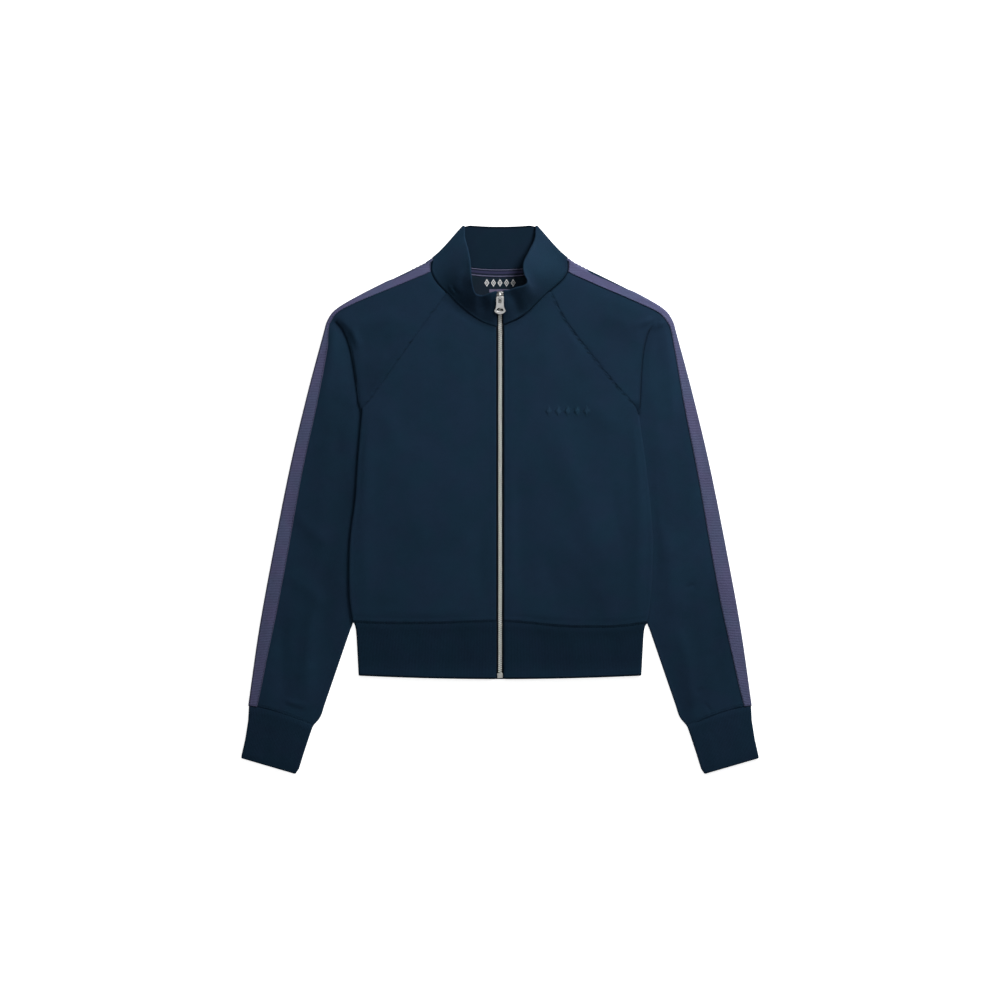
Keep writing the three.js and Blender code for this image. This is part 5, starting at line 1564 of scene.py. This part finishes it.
def flat_frames(name, outlines, level, thickness, material):
    """Thin flat frames side by side, each between an outer and an inner outline."""
    verts, faces = [], []
    for outer, inner in outlines:
        first, n = len(verts), len(outer)
        for outline, up in ((outer, 1), (inner, 1), (inner, -1), (outer, -1)):
            verts += [(x, y, level + up * thickness / 2) for x, y in outline]
        for k in range(n):
            after = (k + 1) % n
            for ring in range(4):
                below = (ring + 1) % 4
                corners = (ring * n + k, ring * n + after, below * n + after, below * n + k)
                faces.append([first + corner for corner in corners])
    piece = solid_mesh(name, np.array(verts), np.array(faces), material)
    piece.data.polygons.foreach_set("use_smooth", np.zeros(len(faces), bool))
    return piece


def print_material(name, colour):
    material, tree, shader = new_material(name, Roughness=0.6, Specular_IOR_Level=0.3)
    worn = cloud(tree, 420, 3)
    tree.links.new(mix_colour(tree, worn.step(0.35, 0.62), tinted(colour, 0.8), tinted(colour, 1)).socket,
                   shader.inputs["Base Color"])
    bump = Dye.node(tree, "Bump", sockets={"Height": worn, "Strength": 0.3, "Distance": 0.1 * MM})
    tree.links.new(bump.socket, shader.inputs["Normal"])
    return material


def lozenge(x, y, half_width, half_height):
    return [(x + half_width, y), (x, y + half_height), (x - half_width, y), (x, y - half_height)]


def scaled(outline, share):
    middle = np.mean(outline, 0)
    return [tuple(middle + (np.array(corner) - middle) * share) for corner in outline]


printed = []
for k in range(LOZENGE["count"]):
    outer = lozenge((k - 2) * LOZENGE["pitch"], LOZENGE["y"], LOZENGE["half_width"], LOZENGE["half_height"])
    printed += [(outer, scaled(outer, 0.58)), (scaled(outer, 0.3), scaled(outer, 0.02))]
bar_x, bar_y = PRINT_BAR["half_width"], PRINT_BAR["half_height"]
bar = [(x * bar_x, PRINT_BAR["y"] + y * bar_y) for x, y in ((-1, -1), (1, -1), (1, 1), (-1, 1))]
white_print = print_material("print_white", (0.62, 0.62, 0.62))
lilac_print = print_material("print_lilac", (0.1, 0.09, 0.16))
for piece in (flat_frames("neck_print_lozenges", printed, PRINT_LEVEL, 0.14, white_print),
              flat_frames("neck_print_bar", [(bar, scaled(bar, 0.02))], PRINT_LEVEL, 0.14, lilac_print)):
    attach(piece, "garment")

# ---- Zip tapes and teeth -------------------------------------------------------------
# A metal zip in warm silver on near-black woven tape, sewn behind the fronts' edges. The
# teeth are clamped on the tapes' beaded edges one by one and lock alternately.

ZIP_TAPE = 0.8
ZIP_TAPE_EDGE = 12.1
ZIP_TOP_Y = 288
ZIP_BOTTOM_Y = -243
PULL_PIVOT_Y = 284
TOOTH_PITCH = 2.86


def zip_tape_material():
    material, tree, shader = new_material("zip_tape_weave", Roughness=0.85, Specular_IOR_Level=0.12)
    across, along, side = laid_coordinates(tree)
    weave = ((across / 0.55).fraction() * math.pi).sine() * (
        ((along / 0.7 + (across / 0.55).whole() * 0.5).fraction() * math.pi).sine()
    )
    finish_cloth(
        tree, shader, weave, cloud(tree, 300, 2), (0.0012, 0.003, 0.0055), depth_mm=0.2, strength=0.5
    )
    return material


def zip_tape(hand, material):
    sign = HANDS[hand]
    y = spaced([ZIP_BOTTOM_Y, 230, 262, ZIP_TOP_Y], 5)[:, None]
    x = np.linspace(1.7, ZIP_TAPE_EDGE, 14)[None, :]
    bead = 0.35 * np.exp(-(((x - 2.0) / 0.6) ** 2))
    points = np.stack(np.broadcast_arrays(sign * x, y, zip_level(y) + bead), -1)
    return cloth(f"zip_tape_piece_{hand}", points, ZIP_TAPE, points[..., :2], sign, material)


zip_weave = zip_tape_material()
for hand in HANDS:
    as_sheet(
        zip_tape(hand, zip_weave), [f"zip_tape_{hand}"],
        width=10.4, length=534,
    )

TOOTH_OUTLINE = (
    (2.75, -0.95), (2.75, 0.95), (1.3, 1.0), (0.5, 0.52), (-0.7, 0.56), (-1.05, 0.35),
    (-1.05, -0.35), (-0.7, -0.56), (0.5, -0.52), (1.3, -1.0),
)
TOOTH_SLICES = ((-1.25, 0.72), (-1.0, 0.96), (0.0, 1), (1.0, 0.96), (1.25, 0.72))


def metal_material(name, colour, roughness, scratches=0.5):
    material, tree, shader = new_material(name, Metallic=1.0)
    grain = cloud(tree, 900, 3, stretch=(1, 0.25, 1))
    patch = cloud(tree, 160, 2)
    rough = roughness + grain * 0.12 * scratches + patch.step(0.35, 0.75) * 0.1
    tree.links.new(rough.socket, shader.inputs["Roughness"])
    patchy = mix_colour(tree, patch, tinted(colour, 0.86), tinted(colour, 1.06))
    tree.links.new(patchy.socket, shader.inputs["Base Color"])
    bump = Dye.node(tree, "Bump", sockets={"Height": grain, "Strength": 0.15, "Distance": 0.04 * MM})
    tree.links.new(bump.socket, shader.inputs["Normal"])
    return material


def zip_teeth(material):
    outline = np.array(TOOTH_OUTLINE)
    centre = outline.mean(0)
    rings = [
        np.column_stack([centre + (outline - centre) * (s, s), np.full(len(outline), z)])
        for z, s in TOOTH_SLICES
    ]
    shape = np.vstack(rings)
    n, rows = len(outline), len(rings)
    faces = []
    for r in range(rows - 1):
        for k in range(n):
            a, b = r * n + k, r * n + (k + 1) % n
            faces += [(a, b, b + n), (a, b + n, a + n)]
    for k in range(1, n - 1):
        faces += [(0, k + 1, k), ((rows - 1) * n, (rows - 1) * n + k, (rows - 1) * n + k + 1)]
    faces = np.array(faces)
    top = PULL_PIVOT_Y + 1
    count = int((top - ZIP_BOTTOM_Y) / TOOTH_PITCH)
    verts, all_faces = [], []
    for side, start in ((1, 0.25), (-1, 0.75)):
        for k in range(count):
            y = ZIP_BOTTOM_Y + (k + start) * TOOTH_PITCH
            slope = float(zip_level(np.array(y + 1.0)) - zip_level(np.array(y - 1.0))) / 2
            lean = math.hypot(1, slope)
            placed = shape.copy()
            placed[:, 0] *= side
            along, up = placed[:, 1].copy(), placed[:, 2].copy()
            placed[:, 1] = y + along / lean - up * slope / lean
            placed[:, 2] = float(zip_level(np.array(float(y)))) + up / lean + along * slope / lean
            all_faces.append((faces if side < 0 else faces[:, ::-1]) + len(shape) * len(verts))
            verts.append(placed)
    return solid_mesh("zip_teeth", np.vstack(verts), np.vstack(all_faces), material)


WARM_SILVER = (0.64, 0.645, 0.615)
zip_silver = metal_material("zip_silver", WARM_SILVER, 0.32)
teeth = zip_teeth(zip_silver)
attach(teeth, "garment")
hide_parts("zip_chain")

# ---- Retainer, slider and pull tab ---------------------------------------------------
# Cast and pressed zip parts in silver: the bridge and the pull tab bright, the slider's plates
# and wedge a dark copy of it that is painted shade under the pull. The slider's two plates hold
# the teeth, and the pull tab hangs from its bridge: a flat key shape with a slot and an arched hole.

RETAINER = {"width": 8, "length": 6.4, "height": 2.9}
SLIDER = {"length": 12, "shoulder": 4.8, "tail": 4.1, "plate": 1.2, "clearance": 1.55, "bridge_width": 2.8}
PIVOT_HEIGHT = 5


def rounded(points, radius, steps=4):
    """A closed outline with its corners rounded."""
    points = [Vector((*p, 0)) for p in points]
    out = []
    for before, here, after in zip(points[-1:] + points[:-1], points, points[1:] + points[:1]):
        reach = min(radius, (before - here).length * 0.45, (after - here).length * 0.45)
        a, b = here + (before - here).normalized() * reach, here + (after - here).normalized() * reach
        for k in range(steps + 1):
            t = k / steps
            out.append((a * (1 - t) ** 2 + here * 2 * t * (1 - t) + b * t * t)[:2])
    return out


def plate(name, outlines, thickness, bevel, material):
    """A flat metal plate with rounded edges: the first outline is its edge, the rest are holes."""
    data = bpy.data.curves.new(name, "CURVE")
    data.dimensions = "2D"
    data.fill_mode = "BOTH"
    for outline in outlines:
        spline = data.splines.new("POLY")
        spline.points.add(len(outline) - 1)
        for point, (x, y) in zip(spline.points, outline):
            point.co = (x * MM, y * MM, 0, 1)
        spline.use_cyclic_u = True
    data.bevel_depth = bevel * MM
    data.bevel_resolution = 3
    data.offset = -bevel * MM
    data.extrude = (thickness / 2 - bevel) * MM
    curve_object = bpy.data.objects.new(name + "_outline", data)
    mesh = bpy.data.meshes.new_from_object(curve_object)
    bpy.data.objects.remove(curve_object)
    mesh.name = name
    mesh.materials.clear()
    mesh.materials.append(material)
    mesh.polygons.foreach_set("use_smooth", np.ones(len(mesh.polygons), bool))
    return mesh


def bezier(*controls, steps=8):
    """Points of a quadratic curve through its first and last control."""
    a, b, c = (Vector(p) for p in controls)
    return [
        tuple(a * (1 - t) ** 2 + b * 2 * t * (1 - t) + c * t * t)
        for t in (k / steps for k in range(steps + 1))
    ]


def mirrored(half):
    """Closes the right half of an outline with its mirror image."""
    return half + [(-x, y) for x, y in reversed(half) if abs(x) > 1e-6]


def place_mesh(mesh, matrix_rows):
    points = np.array([v.co for v in mesh.vertices])
    points = points @ np.array(matrix_rows[0]).T + np.array(matrix_rows[1])
    mesh.vertices.foreach_set("co", points.astype(np.float32).ravel())
    mesh.update()
    return mesh


def joined(name, meshes):
    """One piece from several closed meshes, each in its own metal."""
    verts, faces, metals = [], [], []
    for k, mesh in enumerate(meshes):
        first = len(verts)
        verts += [tuple(v.co) for v in mesh.vertices]
        faces += [tuple(i + first for i in p.vertices) for p in mesh.polygons]
        metals += [k] * len(mesh.polygons)
    joint = bpy.data.meshes.new(name)
    joint.from_pydata(verts, [], faces)
    for mesh in meshes:
        joint.materials.append(mesh.materials[0])
    joint.polygons.foreach_set("use_smooth", np.ones(len(faces), bool))
    joint.polygons.foreach_set("material_index", metals)
    mesh = joint
    piece = bpy.data.objects.new(name, mesh)
    scene.collection.objects.link(piece)
    return piece


zip_lean = math.atan(ZIP_RISE["slope"])
along_zip = (math.cos(zip_lean), math.sin(zip_lean))
ZIP_FRAME = (((1, 0, 0), (0, along_zip[0], -along_zip[1]), (0, along_zip[1], along_zip[0])),
             (0, PULL_PIVOT_Y * MM, float(zip_level(np.array(PULL_PIVOT_Y))) * MM))


def in_zip_frame(mesh, up=0.0, on_edge=False):
    """Places a plate in the slider's own frame, flat or turned on its edge, and then on the garment."""
    points = np.array([v.co for v in mesh.vertices])
    if on_edge:
        points = points[:, [2, 0, 1]]
    points = points + (0, 0, up * MM)
    rotation, place = (np.array(part) for part in ZIP_FRAME)
    mesh.vertices.foreach_set("co", (points @ rotation.T + place).astype(np.float32).ravel())
    mesh.update()
    return mesh


bright_silver = metal_material("bright_silver", (0.97, 0.97, 0.96), 0.34, scratches=0.2)
# A dark copy of the silver: painted shade on the slider's plates and wedge under the pull tab.
shaded_silver = metal_material("shaded_silver", (0.34, 0.34, 0.33), 0.3)
half = SLIDER["length"] / 2
tail, shoulder = SLIDER["tail"], SLIDER["shoulder"]
PLATE_OUTLINE = rounded([
    (-tail, -half), (tail, -half), (shoulder, 1), (shoulder, half - 2),
    (2.4, half), (-2.4, half), (-shoulder, half - 2), (-shoulder, 1),
], 1.2)
foot, crown = SLIDER["clearance"] + SLIDER["plate"] - 0.4, PIVOT_HEIGHT + 2.3
BRIDGE_OUTLINE = rounded([
    (-2.6, foot), (-1.5, foot), (-1.45, PIVOT_HEIGHT + 1.35), (3.4, PIVOT_HEIGHT + 1.35), (4.6, foot),
    (6.4, foot), (5, crown - 0.6), (3.6, crown), (-1.6, crown), (-2.4, crown - 0.6),
], 0.6)
plate_level = SLIDER["clearance"] + SLIDER["plate"] / 2
slider_parts = [
    in_zip_frame(plate("slider_upper", [PLATE_OUTLINE], SLIDER["plate"], 0.4, shaded_silver), plate_level),
    in_zip_frame(plate("slider_lower", [PLATE_OUTLINE], SLIDER["plate"], 0.4, shaded_silver), -plate_level),
    in_zip_frame(plate("slider_wedge", [rounded([(-1.2, 2.1), (1.2, 2.1), (1.2, 5.1), (-1.2, 5.1)], 0.5)],
                       2 * SLIDER["clearance"] + 1, 0.2, shaded_silver)),
    in_zip_frame(
        plate("slider_bridge", [BRIDGE_OUTLINE], SLIDER["bridge_width"], 0.45, bright_silver), on_edge=True
    ),
]
slider = joined("zip_slider_piece", slider_parts)
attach(slider, "garment")
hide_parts("zip_slider")

PULL = {
    "thickness": 1.6, "bar_end": 1, "neck_half": 5.3, "neck_end": -10, "flare_start": -15.6,
    "flare_half": 8, "flare_end": -20, "tip_half": 3.2, "tip_end": -25.4,
    "slot_half": 1.9, "slot_top": -0.8, "slot_end": -9,
}
tip_side, flare = (PULL["tip_half"], PULL["tip_end"] + 0.9), (PULL["flare_half"], PULL["flare_end"])
neck_half, bar_end = PULL["neck_half"], PULL["bar_end"]
pull_half = [(0, PULL["tip_end"]), tip_side]
pull_half += bezier(tip_side, (PULL["flare_half"] - 1, PULL["flare_end"] - 2.8), flare)[1:]
pull_half += bezier(flare, (neck_half, PULL["flare_start"]), (neck_half, PULL["neck_end"]))[1:]
pull_half += [(neck_half, bar_end - 1), (neck_half - 0.3, bar_end - 0.3), (neck_half - 1, bar_end)]
slot = rounded([(-PULL["slot_half"], PULL["slot_top"]), (PULL["slot_half"], PULL["slot_top"]),
                (PULL["slot_half"], PULL["slot_end"]), (-PULL["slot_half"], PULL["slot_end"])], 1.0)
arch = bezier((-4.8, -20.5), (-4.4, -15.8), (0, -15.8)) + bezier((0, -15.8), (4.4, -15.8), (4.8, -20.5))[1:]
pull_mesh = plate("pull_plate", [mirrored(pull_half), slot, arch], PULL["thickness"], 0.32, bright_silver)
pull_tab = joined("pull_tab_piece", [in_zip_frame(pull_mesh, PIVOT_HEIGHT)])
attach(pull_tab, "pull_tab")
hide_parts("zip_pull_tab")

box_x, box_y = RETAINER["width"] / 2, RETAINER["length"] / 2
box_outline = rounded([(-box_x, -box_y), (box_x, -box_y), (box_x, box_y), (-box_x, box_y)], 0.9)
retainer_mesh = plate("retainer_box", [box_outline], RETAINER["height"], 0.5, zip_silver)
retainer_y = ZIP_BOTTOM_Y - GAP - RETAINER["length"] / 2
place_mesh(retainer_mesh, (np.eye(3), (0, retainer_y * MM, (ZIP_LEVEL + 0.2) * MM)))
retainer = joined("zip_retainer_piece", [retainer_mesh])
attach(retainer, "garment")
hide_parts("zip_retainer")
